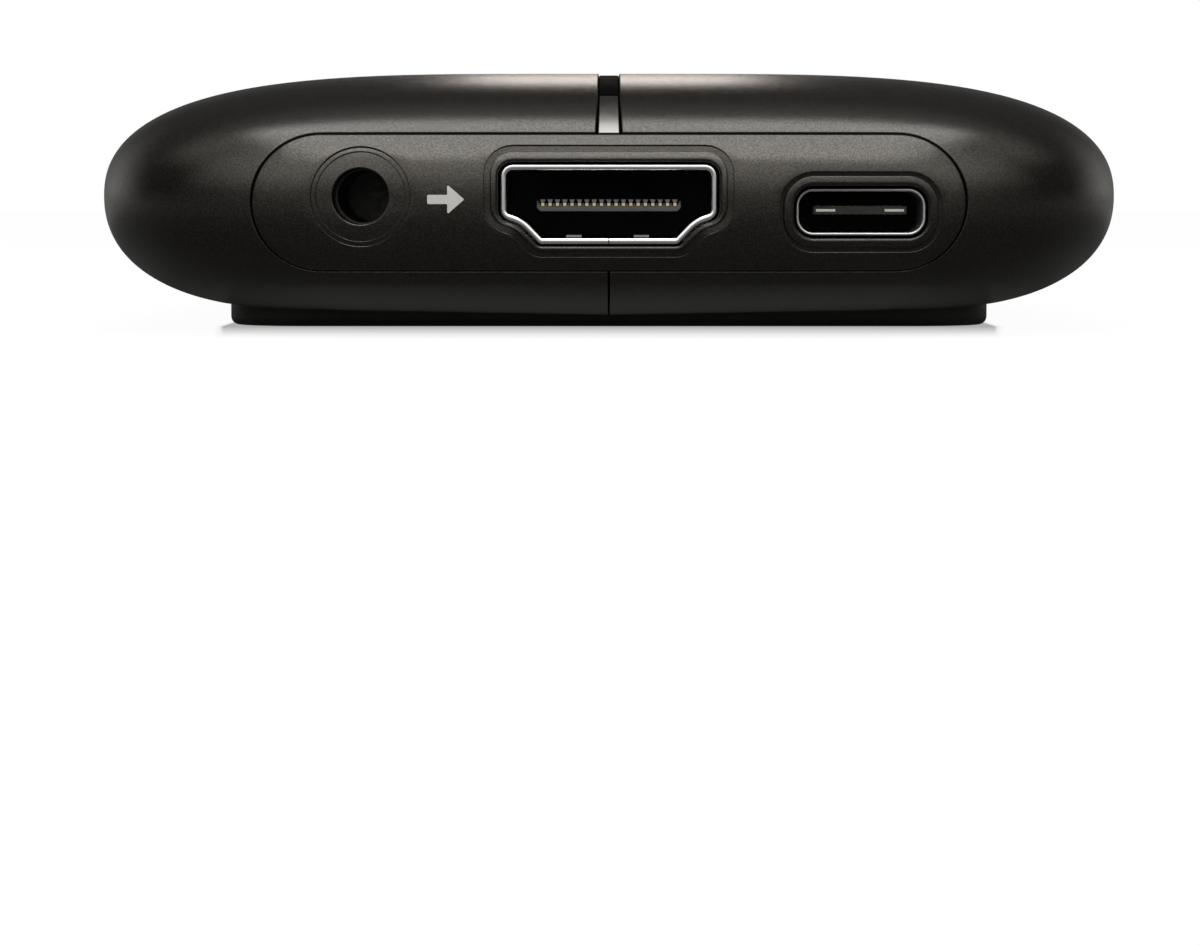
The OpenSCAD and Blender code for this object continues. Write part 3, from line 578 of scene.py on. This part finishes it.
def housingShell(side):
    columns, rows = housing["columns"], housing["rows"]
    middle = plate["middle"]
    halfHeight = (housing["top"] - housing["bottom"]) / 2
    turn = np.linspace(math.pi / 2, -math.pi / 2, columns)
    across, up = housing["halfWidth"] * np.cos(turn), halfHeight * np.sin(turn)
    size = np.hypot(across, up)
    edge = plateEdgeAlong(across / size, up / size)
    edgeX, edgeZ = edge * across / size, middle + edge * up / size
    last = np.arctan2(endFace(edgeX, edgeZ) * size, housing["halfLength"] * edge)
    along = np.linspace(-1, 1, rows)
    lift = last[:, None] * along[None, :]
    directions = np.stack([across[:, None] * np.cos(lift), housing["halfLength"] * np.sin(lift),
                           up[:, None] * np.cos(lift)], -1)
    points = surfaceAlong(directions, middle)
    flat = plate["halfWidth"] - plate["halfHeight"]
    rise = np.interp(points[..., 0], *zip(*housing["lift"]))
    start, full = housing["liftFrom"]
    points[..., 2] += rise * np.clip((start - points[..., 2]) / (start - full), 0, 1)
    push = np.where(turn[:, None] > 0, np.interp(points[..., 2], *zip(*housing["groove"])), housing["seam"])
    points[..., 0] += push * np.clip(1 - points[..., 0] / flat, 0, 1)
    points[..., 0] *= side
    faces = []
    for c in range(columns - 1):
        for r in range(rows - 1):
            a = c * rows + r
            quad = (a, a + 1, a + rows + 1, a + rows)
            faces.append(quad[::-1] if side > 0 else quad)
    name = "rightShell" if side > 0 else "leftShell"
    piece = meshPiece(name, points.reshape(-1, 3), faces, "housing_paint")
    wall = piece.modifiers.new("wall", "SOLIDIFY")
    wall.thickness = housing["wall"] * mm
    wall.offset = -1
    wall.use_even_offset = True
    soft = piece.modifiers.new("edges", "BEVEL")
    soft.width = housing["edge"] * mm
    soft.segments = housing["edgeSteps"]
    soft.limit_method = "ANGLE"
    soft.angle_limit = math.radians(housing["edgeAngle"])
    soft.harden_normals = True
    return settle(piece, "housing_paint", "right_shell" if side > 0 else "left_shell")


for shellSide in (-1, 1):
    housingShell(shellSide)
print("shells made")


# outlines in the end view: points and outward normals, anticlockwise

def stadium(midX, midZ, halfWidth, radius, step):
    flat = halfWidth - radius
    arcCount = max(8, int(math.pi * radius / step))
    sideCount = max(1, int(2 * flat / (2 * step)))
    points, normals = [], []
    for side in (1, -1):
        for k in range(arcCount + 1):
            angle = math.pi * (k / arcCount - 0.5) + (0 if side > 0 else math.pi)
            normal = (math.cos(angle), math.sin(angle))
            points.append((midX + side * flat + radius * normal[0], midZ + radius * normal[1]))
            normals.append(normal)
        for k in range(1, sideCount):
            points.append((midX + side * flat * (1 - 2 * k / sideCount), midZ + side * radius))
            normals.append((0.0, float(side)))
    return np.array(points), np.array(normals)


def roundedOutline(corners, radii, step, arcCount=7):
    corners = np.array(corners, float)
    count = len(corners)
    points, normals = [], []
    for i in range(count):
        before = corners[i] - corners[i - 1]
        after = corners[(i + 1) % count] - corners[i]
        before, after = before / np.hypot(*before), after / np.hypot(*after)
        cross = before[0] * after[1] - before[1] * after[0]
        bend = math.atan2(cross, float(before @ after))
        sign = 1.0 if cross > 0 else -1.0
        reach = radii[i] * math.tan(abs(bend) / 2)
        firstNormal = np.array([before[1], -before[0]])
        middle = corners[i] - before * reach - firstNormal * sign * radii[i]
        for k in range(arcCount + 1):
            angle = bend * k / arcCount
            normal = np.array([firstNormal[0] * math.cos(angle) - firstNormal[1] * math.sin(angle),
                               firstNormal[0] * math.sin(angle) + firstNormal[1] * math.cos(angle)])
            points.append(middle + normal * sign * radii[i])
            normals.append(normal)
        beyond = corners[(i + 2) % count] - corners[(i + 1) % count]
        nextBend = math.atan2(after[0] * beyond[1] - after[1] * beyond[0], float(after @ beyond))
        nextReach = radii[(i + 1) % count] * math.tan(abs(nextBend) / 2)
        start, stop = points[-1], corners[(i + 1) % count] - after * nextReach
        pieces = max(1, int(round(np.hypot(*(stop - start)) / step)))
        for k in range(1, pieces):
            points.append(start + (stop - start) * k / pieces)
            normals.append(np.array([after[1], -after[0]]))
    return np.array(points), np.array(normals)


def boxOutline(left, right, low, high, radius, step=1.0, arcCount=4):
    corners = [(left, low), (right, low), (right, high), (left, high)]
    return roundedOutline(corners, [radius] * 4, step, arcCount)


def ring(midX, midZ, radius, count):
    angles = np.linspace(0, 2 * math.pi, count, endpoint=False)
    normals = np.stack([np.cos(angles), np.sin(angles)], -1)
    return np.array([midX, midZ]) + radius * normals, normals


def grown(outline, distance):
    return outline[0] + outline[1] * distance


def quarter(count):
    turns = [math.pi / 2 * k / count for k in range(count + 1)]
    return [(math.sin(a), math.cos(a)) for a in turns]


def rollOff(offset, depth, radius, count=4):
    # rounded edge that turns from the face down into a hole
    return [(offset - radius * s, depth + radius * (1 - c)) for s, c in quarter(count)]


def lipEdge(offset, depth, radius, count=4):
    # rounded edge that turns from the wall of a rim to its face
    return [(offset + radius * (c - 1), depth + radius * (1 - s)) for s, c in quarter(count)]


class Skin:
    # collects the loops and bands of one mesh
    def __init__(self):
        self.points = []
        self.faces = []

    def loop(self, points):
        first = len(self.points)
        self.points.extend([tuple(p) for p in points])
        return list(range(first, len(self.points)))

    def band(self, first, second, closed=True):
        count = len(first)
        for i in range(count if closed else count - 1):
            j = (i + 1) % count
            self.faces.append((first[i], first[j], second[j], second[i]))

    def bands(self, loops, closed=True):
        for first, second in zip(loops, loops[1:]):
            self.band(first, second, closed)

    def cap(self, loop):
        self.faces.append(tuple(loop))

    def solid(self, loops):
        # bands from the first loop to the last, and a cap at both ends
        self.bands(loops)
        self.cap(loops[0])
        self.cap(loops[-1])

    def piece(self, name, finish, sharp=35):
        return crease(faceOutward(meshPiece(name, self.points, self.faces, finish)), sharp)


def isInside(points, outline):
    x, z = points[:, 0], points[:, 1]
    inside = np.zeros(len(points), bool)
    for (ax, az), (bx, bz) in zip(outline, np.roll(outline, -1, 0)):
        crosses = (az > z) != (bz > z)
        slope = (bx - ax) / (bz - az) if bz != az else 0.0
        inside ^= crosses & (x < ax + slope * (z - az))
    return inside


rowHeight = 0.87  # of even triangles, against their side
closeBy = 1e-6  # mm, where two points count as one
sliver = 1e-6  # mm², twice the area of a triangle that is left out on the border


def isBetween(points, outer, holes):
    keep = isInside(points, outer)
    for hole in holes:
        keep &= ~isInside(points, hole)
    return keep


def fillFace(outer, holes, spacing):
    # triangles between an outline and the holes in it, with a grid of points inside
    border = np.concatenate([outer, *holes])
    low, high = outer.min(0), outer.max(0)
    grid = []
    for row, z in enumerate(np.arange(low[1], high[1], spacing * rowHeight)):
        for x in np.arange(low[0] + (row % 2) * spacing / 2, high[0], spacing):
            grid.append((x, z))
    grid = np.array(grid)
    grid = grid[isBetween(grid, outer, holes)]
    nearest = np.sqrt(((grid[:, None] - border[None]) ** 2).sum(-1)).min(1)
    grid = grid[nearest > spacing / 2]
    everyPoint = np.concatenate([border, grid])
    edges, start = [], 0
    for outline in (outer, *holes):
        count = len(outline)
        edges += [(start + i, start + (i + 1) % count) for i in range(count)]
        start += count
    found = geometry.delaunay_2d_cdt([Vector(map(float, p)) for p in everyPoint], edges, [], 0, closeBy)
    origin = [source[0] for source in found[3]]
    triangles = np.array([[origin[i] for i in face] for face in found[2]])
    first, second, third = everyPoint[triangles].transpose(1, 0, 2)
    (ax, az), (bx, bz) = (second - first).T, (third - first).T
    keep = isBetween((first + second + third) / 3, outer, holes)
    return grid, triangles[keep & (np.abs(ax * bz - az * bx) > sliver)]


def onFace(flat, depth=0.0):
    # lifts end-view points onto the input end, depth under its surface
    return np.stack([flat[:, 0], depth - endFace(flat[:, 0], flat[:, 1]), flat[:, 1]], -1)


def atDepth(flat, y):
    return np.stack([flat[:, 0], np.full(len(flat), float(y)), flat[:, 1]], -1)


def turnToRear(piece):
    piece.data.transform(Matrix.Rotation(math.pi, 4, "Z"))
    return piece


recess = {
    "step": 0.16,
    "edge": 0.07,
    "tilt": 0.1,  # fall of the ring inside it
    "bead": 0.09,  # height of the rim that stands round the socket
    "beadEdge": 0.06,
    "roll": 0.28,  # soft edge that falls away to the socket
    "edgeSteps": 3,
    "rollSteps": 8,
    "back": -52.0,
}

video = {
    "top": 11.85,
    "bottom": 6.42,
    "halfWidth": 7.36,
    "side": 3.62,
    "halfWaist": 6.02,
    "jog": 0.45,
    "halfBase": 4.71,
    "radii": (0.5, 0.5, 2.2, 0.75, 0.85, 0.85, 0.75, 2.2),
    "sheet": 0.42,
    "round": 0.15,
    "recess": (1.06, 0.62, 0.42),  # distances from the shell to the recess, its rim and the soft edge
    "rise": 0.2,  # how far the recess sits above the middle of the socket
    "lip": -55.2,
    "back": -42.5,
    "seam": 0.035,
    "tabs": ((-2.89, -1.85), (1.7, 2.73)),
    "tabSheet": 0.15,
    "tabPath": ((-54.1, 6.96), (-53.4, 6.98), (-51.5, 6.9)),
    "mesh": 0.3,
}

data = {
    "middle": (17.07, 8.6),
    "halfWidth": 4.4,
    "halfHeight": 1.6,
    "radius": 1.2,
    "sheet": 0.21,
    "round": 0.1,
    "recess": (1.11, 0.83, 0.45),
    "rise": 0.0,
    "lip": -54.8,
    "back": -44.8,
    "mesh": 0.25,
    "cornerSteps": 12,
}

jack = {
    "middle": (-16.8, 9.65),
    "radii": (3.37, 3.04, 1.9),  # of the recess, the step in it and the hole
    "step": 0.12,
    "edges": (0.7, 1.6),  # rounding of the step and the hole, against that of the recess
    "count": 96,
}


def videoOutline():
    side = video["top"] - video["side"]
    half = [(video["halfBase"], video["bottom"]), (video["halfWaist"], side - video["jog"]),
            (video["halfWidth"], side), (video["halfWidth"], video["top"])]
    mirrored = [(-x, z) for x, z in reversed(half)]
    return roundedOutline(mirrored[-1:] + half + mirrored[:-1], video["radii"], video["mesh"])


def dataOutline():
    (midX, midZ), wide, high = data["middle"], data["halfWidth"], data["halfHeight"]
    sides = (midX - wide, midX + wide, midZ - high, midZ + high)
    return boxOutline(*sides, data["radius"], data["mesh"], data["cornerSteps"])


def socketSteps(look):
    # offset from the shell, depth and rise of each loop, from the face into the hole
    outer, inner, crest = look["recess"]
    floor = recess["step"] - recess["bead"]
    rim = rollOff(outer + recess["edge"], 0, recess["edge"], recess["edgeSteps"])
    rim += [(outer, recess["step"]), (inner, recess["step"] + recess["tilt"])]
    rim += lipEdge(inner, floor, recess["beadEdge"])
    fall = rollOff(crest, floor, recess["roll"], recess["rollSteps"])
    return [(o, d, look["rise"]) for o, d in rim] + [(o, d, 0.0) for o, d in fall]


def jackSteps():
    outer, inner, hole = [r - jack["radii"][0] for r in jack["radii"]]
    edge, step, count = recess["edge"], recess["step"], recess["edgeSteps"]
    floor = step + jack["step"]
    stepEdge, holeEdge = [edge * share for share in jack["edges"]]
    steps = rollOff(outer + edge, 0, edge, count) + [(outer, step)]
    steps += rollOff(inner + stepEdge, step, stepEdge, count) + [(inner, floor)]
    steps += rollOff(hole + holeEdge, floor, holeEdge)
    return [(o, d, 0.0) for o, d in steps]


def stepped(port, step):
    offset, depth, rise = step
    return grown(port, offset) + np.array([0.0, rise])


def portPlate(name, ports, replaced, rear=False):
    skin = Skin()
    outline = stadium(0, plate["middle"], plate["halfWidth"], plate["halfHeight"], plate["rimMesh"])
    edgeSteps = [(-o, d) for o, d in rollOff(plate["edge"], 0, plate["edge"])]
    outer = grown(outline, edgeSteps[0][0])
    holes = [stepped(port, steps[0]) for port, steps in ports]
    grid, triangles = fillFace(outer, holes, plate["mesh"])
    loops = [skin.loop(onFace(part)) for part in (outer, *holes)]
    skin.loop(onFace(grid))
    skin.faces.extend(tuple(t) for t in triangles)
    rim = [loops[0]] + [skin.loop(onFace(grown(outline, o), d)) for o, d in edgeSteps[1:]]
    rim.append(skin.loop(atDepth(grown(outline, 0), recess["back"])))
    skin.bands(rim)
    backLoops = [rim[-1]]
    for (port, steps), first in zip(ports, loops[1:]):
        chain = [first] + [skin.loop(onFace(stepped(port, step), step[1])) for step in steps[1:]]
        chain.append(skin.loop(atDepth(stepped(port, steps[-1]), recess["back"])))
        skin.bands(chain)
        backLoops.append(chain[-1])
    flat = [np.array([(skin.points[i][0], skin.points[i][2]) for i in loop]) for loop in backLoops]
    backGrid, backTriangles = fillFace(flat[0], flat[1:], plate["mesh"] * 2)
    index = [i for loop in backLoops for i in loop] + skin.loop(atDepth(backGrid, recess["back"]))
    skin.faces.extend(tuple(index[i] for i in t) for t in backTriangles)
    piece = skin.piece(name, "housing_paint", plate["crease"])
    if rear:
        turnToRear(piece)
    return settle(piece, "housing_paint", replaced)


jackRing = ring(*jack["middle"], jack["radii"][0], jack["count"])
videoHole, dataHole = (videoOutline(), socketSteps(video)), (dataOutline(), socketSteps(data))
portPlate("frontPlate", [videoHole, dataHole, (jackRing, jackSteps())], "front_port_plate")
portPlate("rearPlate", [videoHole], "rear_port_plate", True)
print("port plates made")


# rows of small bars, used for the contacts

def barRowTree():
    tree = bpy.data.node_groups.new("barRow", "GeometryNodeTree")
    sizes = {name: "Float" for name in ("Pitch", "Height", "Foot Width", "Top Width", "Depth")}
    sizes = {"Count": "Int", **sizes, "Finish": "Material"}
    for name, kind in sizes.items():
        tree.interface.new_socket(name, in_out="INPUT", socket_type="NodeSocket" + kind)
    tree.interface.new_socket("Geometry", in_out="OUTPUT", socket_type="NodeSocketGeometry")
    nodes = Nodes(tree)
    given = {name: nodes.add("NodeGroupInput", output=name) for name in sizes}
    section = nodes.add("GeometryNodeCurvePrimitiveQuadrilateral", {"mode": "TRAPEZOID"},
                        {"Height": given["Height"], "Bottom Width": given["Foot Width"],
                         "Top Width": given["Top Width"], "Offset": 0.0})
    face = nodes.add("GeometryNodeFillCurve", {"mode": "NGONS"}, {"Curve": section})
    body = nodes.add("GeometryNodeExtrudeMesh", {}, {"Mesh": face, "Offset Scale": given["Depth"]})
    back = nodes.add("GeometryNodeFlipFaces", {}, {"Mesh": face})
    whole = nodes.add("GeometryNodeJoinGeometry", {}, {"Geometry": [body, back]})
    bar = nodes.add("GeometryNodeMergeByDistance", {}, {"Geometry": whole, "Distance": 1e-6})
    stood = nodes.add("GeometryNodeTransform", {}, {"Geometry": bar, "Rotation": (math.pi / 2, 0, 0)})
    step = nodes.add("ShaderNodeCombineXYZ", {}, {"X": given["Pitch"]})
    line = nodes.add("GeometryNodeMeshLine", {}, {"Count": given["Count"], "Offset": step})
    row = nodes.add("GeometryNodeInstanceOnPoints", {}, {"Points": line, "Instance": stood})
    real = nodes.add("GeometryNodeRealizeInstances", {}, {"Geometry": row})
    done = nodes.add("GeometryNodeSetMaterial", {}, {"Geometry": real, "Material": given["Finish"]})
    nodes.add("NodeGroupOutput", {}, {"Geometry": done}, None)
    return tree


barRow = barRowTree()


def rowOfBars(name, look, finish):
    # bars from front to back, their sections in the end view
    piece = meshPiece(name, [], [], finish)
    maker = piece.modifiers.new("bars", "NODES")
    maker.node_group = barRow
    sizes = {"Pitch": look["pitch"], "Height": look["top"] - look["foot"], "Foot Width": look["footWidth"],
             "Top Width": look["topWidth"], "Depth": look["back"] - look["front"]}
    values = {key: size * mm for key, size in sizes.items()}
    values.update({"Count": look["count"], "Finish": finishes[finish]})
    for socket in barRow.interface.items_tree:
        if socket.in_out == "INPUT":
            maker[socket.identifier] = values[socket.name]
    made = bpy.data.meshes.new_from_object(piece.evaluated_get(bpy.context.evaluated_depsgraph_get()))
    piece.modifiers.remove(maker)
    piece.data = made
    first = look["middle"] - look["pitch"] * (look["count"] - 1) / 2
    made.transform(Matrix.Translation(Vector((first, look["back"], (look["top"] + look["foot"]) / 2)) * mm))
    return faceOutward(piece)


def joined(first, *others):
    # one mesh out of several, with their finishes kept apart
    with bpy.context.temp_override(active_object=first, selected_editable_objects=[first, *others]):
        bpy.ops.object.join()
    return first


# video and data sockets

def openAtSeam(outline, half):
    # the outline cut open in the middle of its foot
    points, normals = outline
    foot = points[:, 1].min()
    atFoot = points[:, 1] < foot + closeBy
    rest = ~(atFoot & (np.abs(points[:, 0]) <= half))
    points, normals, atFoot = points[rest], normals[rest], atFoot[rest]
    start = np.argmin(np.where(atFoot & (points[:, 0] > 0), points[:, 0], np.inf))
    down = np.array([[0.0, -1.0]])
    return (np.concatenate([[[half, foot]], np.roll(points, -start, 0), [[-half, foot]]]),
            np.concatenate([down, np.roll(normals, -start, 0), down]))


def sheetRim(look):
    # section of a sheet with a rounded lip: offset from the outline, and depth
    outer = lipEdge(0.0, look["lip"], look["round"])
    inner = [(-look["sheet"] - o, y) for o, y in reversed(outer)]
    return [(0.0, look["back"])] + outer + inner + [(-look["sheet"], look["back"])]


def socketShell(skin, outline, look, seam=0.0):
    if seam:
        outline = openAtSeam(outline, seam)
    loops = [skin.loop(atDepth(grown(outline, o), y)) for o, y in sheetRim(look)]
    skin.bands(loops + loops[:1], closed=not seam)
    if seam:
        for end in (0, -1):
            skin.cap([loop[end] for loop in loops])


def springTab(skin, left, right, look):
    # bent finger that rises from the floor of the shell
    loops = []
    for y, z in look["tabPath"]:
        low, high = z - look["tabSheet"] / 2, z + look["tabSheet"] / 2
        loops.append(skin.loop([(left, y, low), (right, y, low), (right, y, high), (left, y, high)]))
    skin.solid(loops)


def prism(skin, flat, front, back, edge=0.04):
    # closed bar with the given section and a small chamfer round its front
    points, normals = flat
    loops = [skin.loop(atDepth(points - normals * edge, front)), skin.loop(atDepth(points, front + edge)),
             skin.loop(atDepth(points, back))]
    skin.solid(loops)


def cornered(corners):
    # plain outline with mitred normals
    points = np.array(corners, float)
    before = points - np.roll(points, 1, 0)
    after = np.roll(points, -1, 0) - points
    before /= np.hypot(*before.T)[:, None]
    after /= np.hypot(*after.T)[:, None]
    bisector = np.stack([before[:, 1] + after[:, 1], -before[:, 0] - after[:, 0]], -1)
    length = 1 + (before * after).sum(1)
    return points, bisector / length[:, None]


tongue = {
    "front": -53.3,
    "back": -46.9,
    "blockBack": -42.9,
    "halfWidth": 4.9,
    "low": 8.65,
    "foot": 9.02,  # where the contacts lie
    "postTop": 9.34,
    "post": 0.11,
    "chamfer": 0.24,
    "fit": 0.04,
    "crease": 30,
}

videoRow = {"pitch": 0.5, "middle": 0.0, "front": -53.28, "back": -46.9}
videoRows = {
    "caps": {**videoRow, "count": 19, "foot": 9.24, "top": 9.45, "footWidth": 0.2, "topWidth": 0.36},
    "ridges": {**videoRow, "count": 20, "foot": 9.0, "top": 9.2, "footWidth": 0.15, "topWidth": 0.07},
    "contacts": {**videoRow, "count": 19, "foot": 9.02, "top": 9.21, "footWidth": 0.22, "topWidth": 0.2,
                 "front": -53.33},
}


def socketBlock(name, outline, sheet, look):
    # plastic behind the tongue that fills the shell, in the near-black copy of the socket plastic as painted
    # shade
    skin = Skin()
    prism(skin, (grown(outline, -sheet - look["fit"]), outline[1]), look["back"], look["blockBack"])
    return skin.piece(name, "socket_plastic", look["crease"])


def videoSocket(end, nodes, rear=False):
    shell = Skin()
    socketShell(shell, videoOutline(), video, video["seam"])
    tabs = Skin()
    for left, right in video["tabs"]:
        springTab(tabs, left, right, video)
    # the tabs join the shell in the darker tab_metal copy of its metal, as painted shade inside the socket
    metal = joined(shell.piece(end + "Shell", "socket_metal"), tabs.piece(end + "Tabs", "tab_metal"))
    body = socketBlock(end + "Tongue", videoOutline(), video["sheet"], tongue)
    slab = Skin()
    wide, low, foot = tongue["halfWidth"], tongue["low"], tongue["foot"]
    inner, chamfer, post = wide - tongue["post"], tongue["chamfer"], tongue["postTop"]
    half = [(wide - chamfer, low), (wide, low + chamfer), (wide, post), (inner, post), (inner, foot)]
    prism(slab, cornered(half + [(-x, z) for x, z in reversed(half)]), tongue["front"], tongue["back"])
    # painted light: slab and ridges in a grey copy and caps in a paler copy of the socket plastic, against
    # the near-black block
    rows = [slab.piece(end + "Slab", "tongue_plastic", tongue["crease"]),
            rowOfBars(end + "Caps", videoRows["caps"], "cap_plastic"),
            rowOfBars(end + "Ridges", videoRows["ridges"], "tongue_plastic")]
    contacts = rowOfBars(end + "Contacts", videoRows["contacts"], "contact_gold")
    pieces = ((metal, "socket_metal"), (joined(body, *rows), "socket_plastic"), (contacts, "contact_gold"))
    for (piece, finish), node in zip(pieces, nodes):
        if rear:
            turnToRear(piece)
        settle(piece, finish, node)


videoSocket("videoIn", ("video_in_shell", "video_in_insulator", "video_in_contacts"))
videoSocket("videoOut", ("video_out_shell", "video_out_insulator", "video_out_contacts"), True)
print("video sockets made")

dataTongue = {
    "front": -53.8,
    "back": -48.8,
    "blockBack": -45.0,
    "halfWidth": 3.19,
    "middle": 8.715,
    "halfHeight": 0.28,
    "radius": 0.07,
    "fit": 0.04,
    "bars": ((-3.0, -1.67), (1.67, 3.0)),  # bright ends of the outer contacts, from the middle
    "barHeight": 0.18,
    "barProud": 0.03,
    "barDepth": 0.2,
    "barRadius": 0.03,
    "barEdge": 0.015,
    "crease": 30,
}

dataContacts = {"count": 12, "pitch": 0.5, "middle": data["middle"][0], "footWidth": 0.25, "topWidth": 0.25,
                "front": -53.2, "back": -48.8, "sheet": 0.06, "proud": 0.006}


def dataSocket():
    midX = data["middle"][0]
    shell = Skin()
    socketShell(shell, dataOutline(), data)
    settle(shell.piece("dataShell", "data_metal"), "socket_metal", "data_socket_shell")
    look = dataTongue
    low, high = (look["middle"] + side * look["halfHeight"] for side in (-1, 1))
    blade = Skin()
    flat = boxOutline(midX - look["halfWidth"], midX + look["halfWidth"], low, high, look["radius"])
    prism(blade, flat, look["front"], look["back"])
    # painted light: the tongue in a lighter copy of the socket plastic than the block behind it, which is
    # painted shade
    slab = blade.piece("dataSlab", "data_plastic", look["crease"])
    block = socketBlock("dataTongue", dataOutline(), data["sheet"], look)
    settle(joined(block, slab), "socket_plastic", "data_socket_insulator")
    sheet, proud = dataContacts["sheet"], dataContacts["proud"]
    upper = {**dataContacts, "foot": high + proud - sheet, "top": high + proud}
    lower = {**dataContacts, "foot": low - proud, "top": low - proud + sheet}
    rows = [rowOfBars(name, row, "contact_gold")
            for name, row in (("dataContacts", upper), ("dataContactsLow", lower))]
    ends = Skin()
    half = look["barHeight"] / 2
    low, high = look["middle"] - half, look["middle"] + half
    for left, right in look["bars"]:
        bar = boxOutline(midX + left, midX + right, low, high, look["barRadius"])
        prism(ends, bar, look["front"] - look["barProud"], look["front"] + look["barDepth"], look["barEdge"])
    rows.append(ends.piece("dataContactEnds", "bright_tin"))
    settle(joined(*rows), "contact_gold", "data_socket_contacts")


dataSocket()
print("data socket made")


# strip, light guides and foot

# heights where each begins and ends, half widths by height, depth under the surface
ribbon = {
    "strip": {"from": 16.75, "halfWidth": ((16.75, 0.7),),
              "recess": 0.12, "thick": 0.6, "edge": 0.1, "count": 160},
    # painted shade: black sheet under the groove
    "bed": {"from": 14.04, "halfWidth": ((14.04, 0.89), (16.75, 0.72)),
            "recess": 0.74, "thick": 0.4, "edge": 0.02, "count": 180},
    "guide": {"from": 14.04, "to": 16.66, "halfWidth": ((14.04, 0.71), (16.66, 0.635)),
              "recess": 0.1, "thick": 0.62, "edge": 0.06, "count": 26},
    # painted shade: black blade in the seam below the plates
    "tongue": {"from": 0.7, "to": 4.5, "halfWidth": ((0.7, 0.05),),
               "recess": 0.5, "thick": 0.5, "edge": 0.01, "count": 20},
}
ribbonCrease = 40
archRise = housing["top"] - housing["equator"]


def archTurn(z):
    return math.atan2(-lengthAt(z) / housing["halfLength"], (z - housing["equator"]) / archRise)


def archPoints(look):
    # points on the middle line of the housing, from the input end over the top unless they end sooner
    first = archTurn(look["from"])
    last = archTurn(look["to"]) if "to" in look else -first
    turn = np.linspace(first, last, look["count"])
    along, up = housing["halfLength"] * np.sin(turn), archRise * np.cos(turn)
    return surfaceAlong(np.stack([np.zeros(len(turn)), along, up], -1), housing["equator"])


def archRibbon(name, look, finish):
    # bar with rounded upper edges that follows the middle line
    path = archPoints(look)[:, 1:]
    along = np.gradient(path, axis=0)
    along /= np.hypot(*along.T)[:, None]
    outward = np.stack([-along[:, 1], along[:, 0]], -1)
    skin = Skin()
    loops = []
    widths = np.interp(path[:, 1], *zip(*look["halfWidth"]))
    for point, normal, half in zip(path, outward, widths):
        left = [(-half, look["thick"])] + rollOff(look["edge"] - half, 0, look["edge"])[::-1]
        section = left + [(-x, d) for x, d in reversed(left)]
        loops.append(skin.loop([(x, *(point - normal * (d + look["recess"]))) for x, d in section]))
    skin.solid(loops)
    return skin.piece(name, finish, ribbonCrease)


# painted shade: the bed is a black sheet that closes the groove under the strip and the guides, and the
# tongues are black sheets in the seam below the plates, so both gaps read dark
blackNames = {"centreStrip": "strip", "grooveShadeBed": "bed", "frontSeamShade": "tongue", "rearSeamShade": "tongue"}
blackParts = [archRibbon(name, ribbon[part], "gloss_black") for name, part in blackNames.items()]
turnToRear(blackParts[-1])
settle(joined(*blackParts), "gloss_black", "centre_strip")
settle(archRibbon("frontGuide", ribbon["guide"], "light_guide"), "light_guide", "front_light_guide")
rearGuide = turnToRear(archRibbon("rearGuide", ribbon["guide"], "light_guide"))
settle(rearGuide, "light_guide", "rear_light_guide")
print("strip and light guides made")

foot = {
    "halfWidth": 28.7,
    "halfLength": 29.0,
    "corner": 6.0,
    "edge": 0.6,
    "top": 2.0,
    "flat": 1.6,  # width of the flat margin round the underside
    "mesh": 2.0,
    "cornerSteps": 14,
    "edgeSteps": 5,
}


def footPad():
    wide, long = foot["halfWidth"], foot["halfLength"]
    outline = boxOutline(-wide, wide, -long, long, foot["corner"], foot["mesh"], foot["cornerSteps"])
    edge = [(-o, z) for o, z in rollOff(foot["edge"], 0, foot["edge"], foot["edgeSteps"])]
    steps = [(-foot["edge"] - foot["flat"], 0.0)] + edge
    steps += [(0.0, foot["top"]), (-foot["flat"], foot["top"])]
    skin = Skin()
    loops = [skin.loop([(x, y, z) for x, y in grown(outline, o)]) for o, z in steps]
    skin.solid(loops)
    return settle(skin.piece("footPad", "foot_rubber"), "foot_rubber", "foot_pad")


footPad()
print("foot made")

arrow = {
    "beside": (-11.0, 12.0),  # at the input and the output end, each seen from its own side
    "middle": 9.45,
    "height": 2.0,
    "length": 2.5,
    "head": 1.15,
    "shaft": 0.62,
    "proud": 0.025,
    "corner": 0.06,
    "cornerSteps": 3,
    "mesh": 0.3,
    "crease": 40,
}


def flowArrow(name, midX, rear=False):
    # plain arrow beside a video socket
    midZ = arrow["middle"]
    tip, tail = arrow["length"] / 2, -arrow["length"] / 2
    neck, half, shaft = tip - arrow["head"], arrow["height"] / 2, arrow["shaft"] / 2
    lower = [(tail, -shaft), (neck, -shaft), (neck, -half)]
    upper = [(x, -z) for x, z in reversed(lower)]
    corners = [(midX + x, midZ + z) for x, z in lower + [(tip, 0)] + upper]
    radii = [arrow["corner"]] * len(corners)
    outline = roundedOutline(corners, radii, arrow["mesh"], arrow["cornerSteps"])[0]
    grid, triangles = fillFace(outline, [], arrow["mesh"])
    skin = Skin()
    rim = skin.loop(onFace(outline, -arrow["proud"]))
    skin.loop(onFace(grid, -arrow["proud"]))
    skin.faces.extend(tuple(t) for t in triangles)
    sunk = skin.loop(onFace(outline, arrow["proud"]))
    skin.band(rim, sunk)
    skin.cap(sunk)
    piece = skin.piece(name, "mark_silver", arrow["crease"])
    return settle(turnToRear(piece) if rear else piece, "light_guide")


flowArrow("inputArrow", arrow["beside"][0])
flowArrow("outputArrow", arrow["beside"][1], True)
print("arrows made")


ownFinish = {"audio_jack_body": "jack_plastic"}
for row in frame["record"]["subparts"]:
    node = cadNodes[row["node"]]
    node.data.materials.clear()
    node.data.materials.append(finishes[ownFinish.get(row["node"], row["material_slot"])])
print("solids finished")
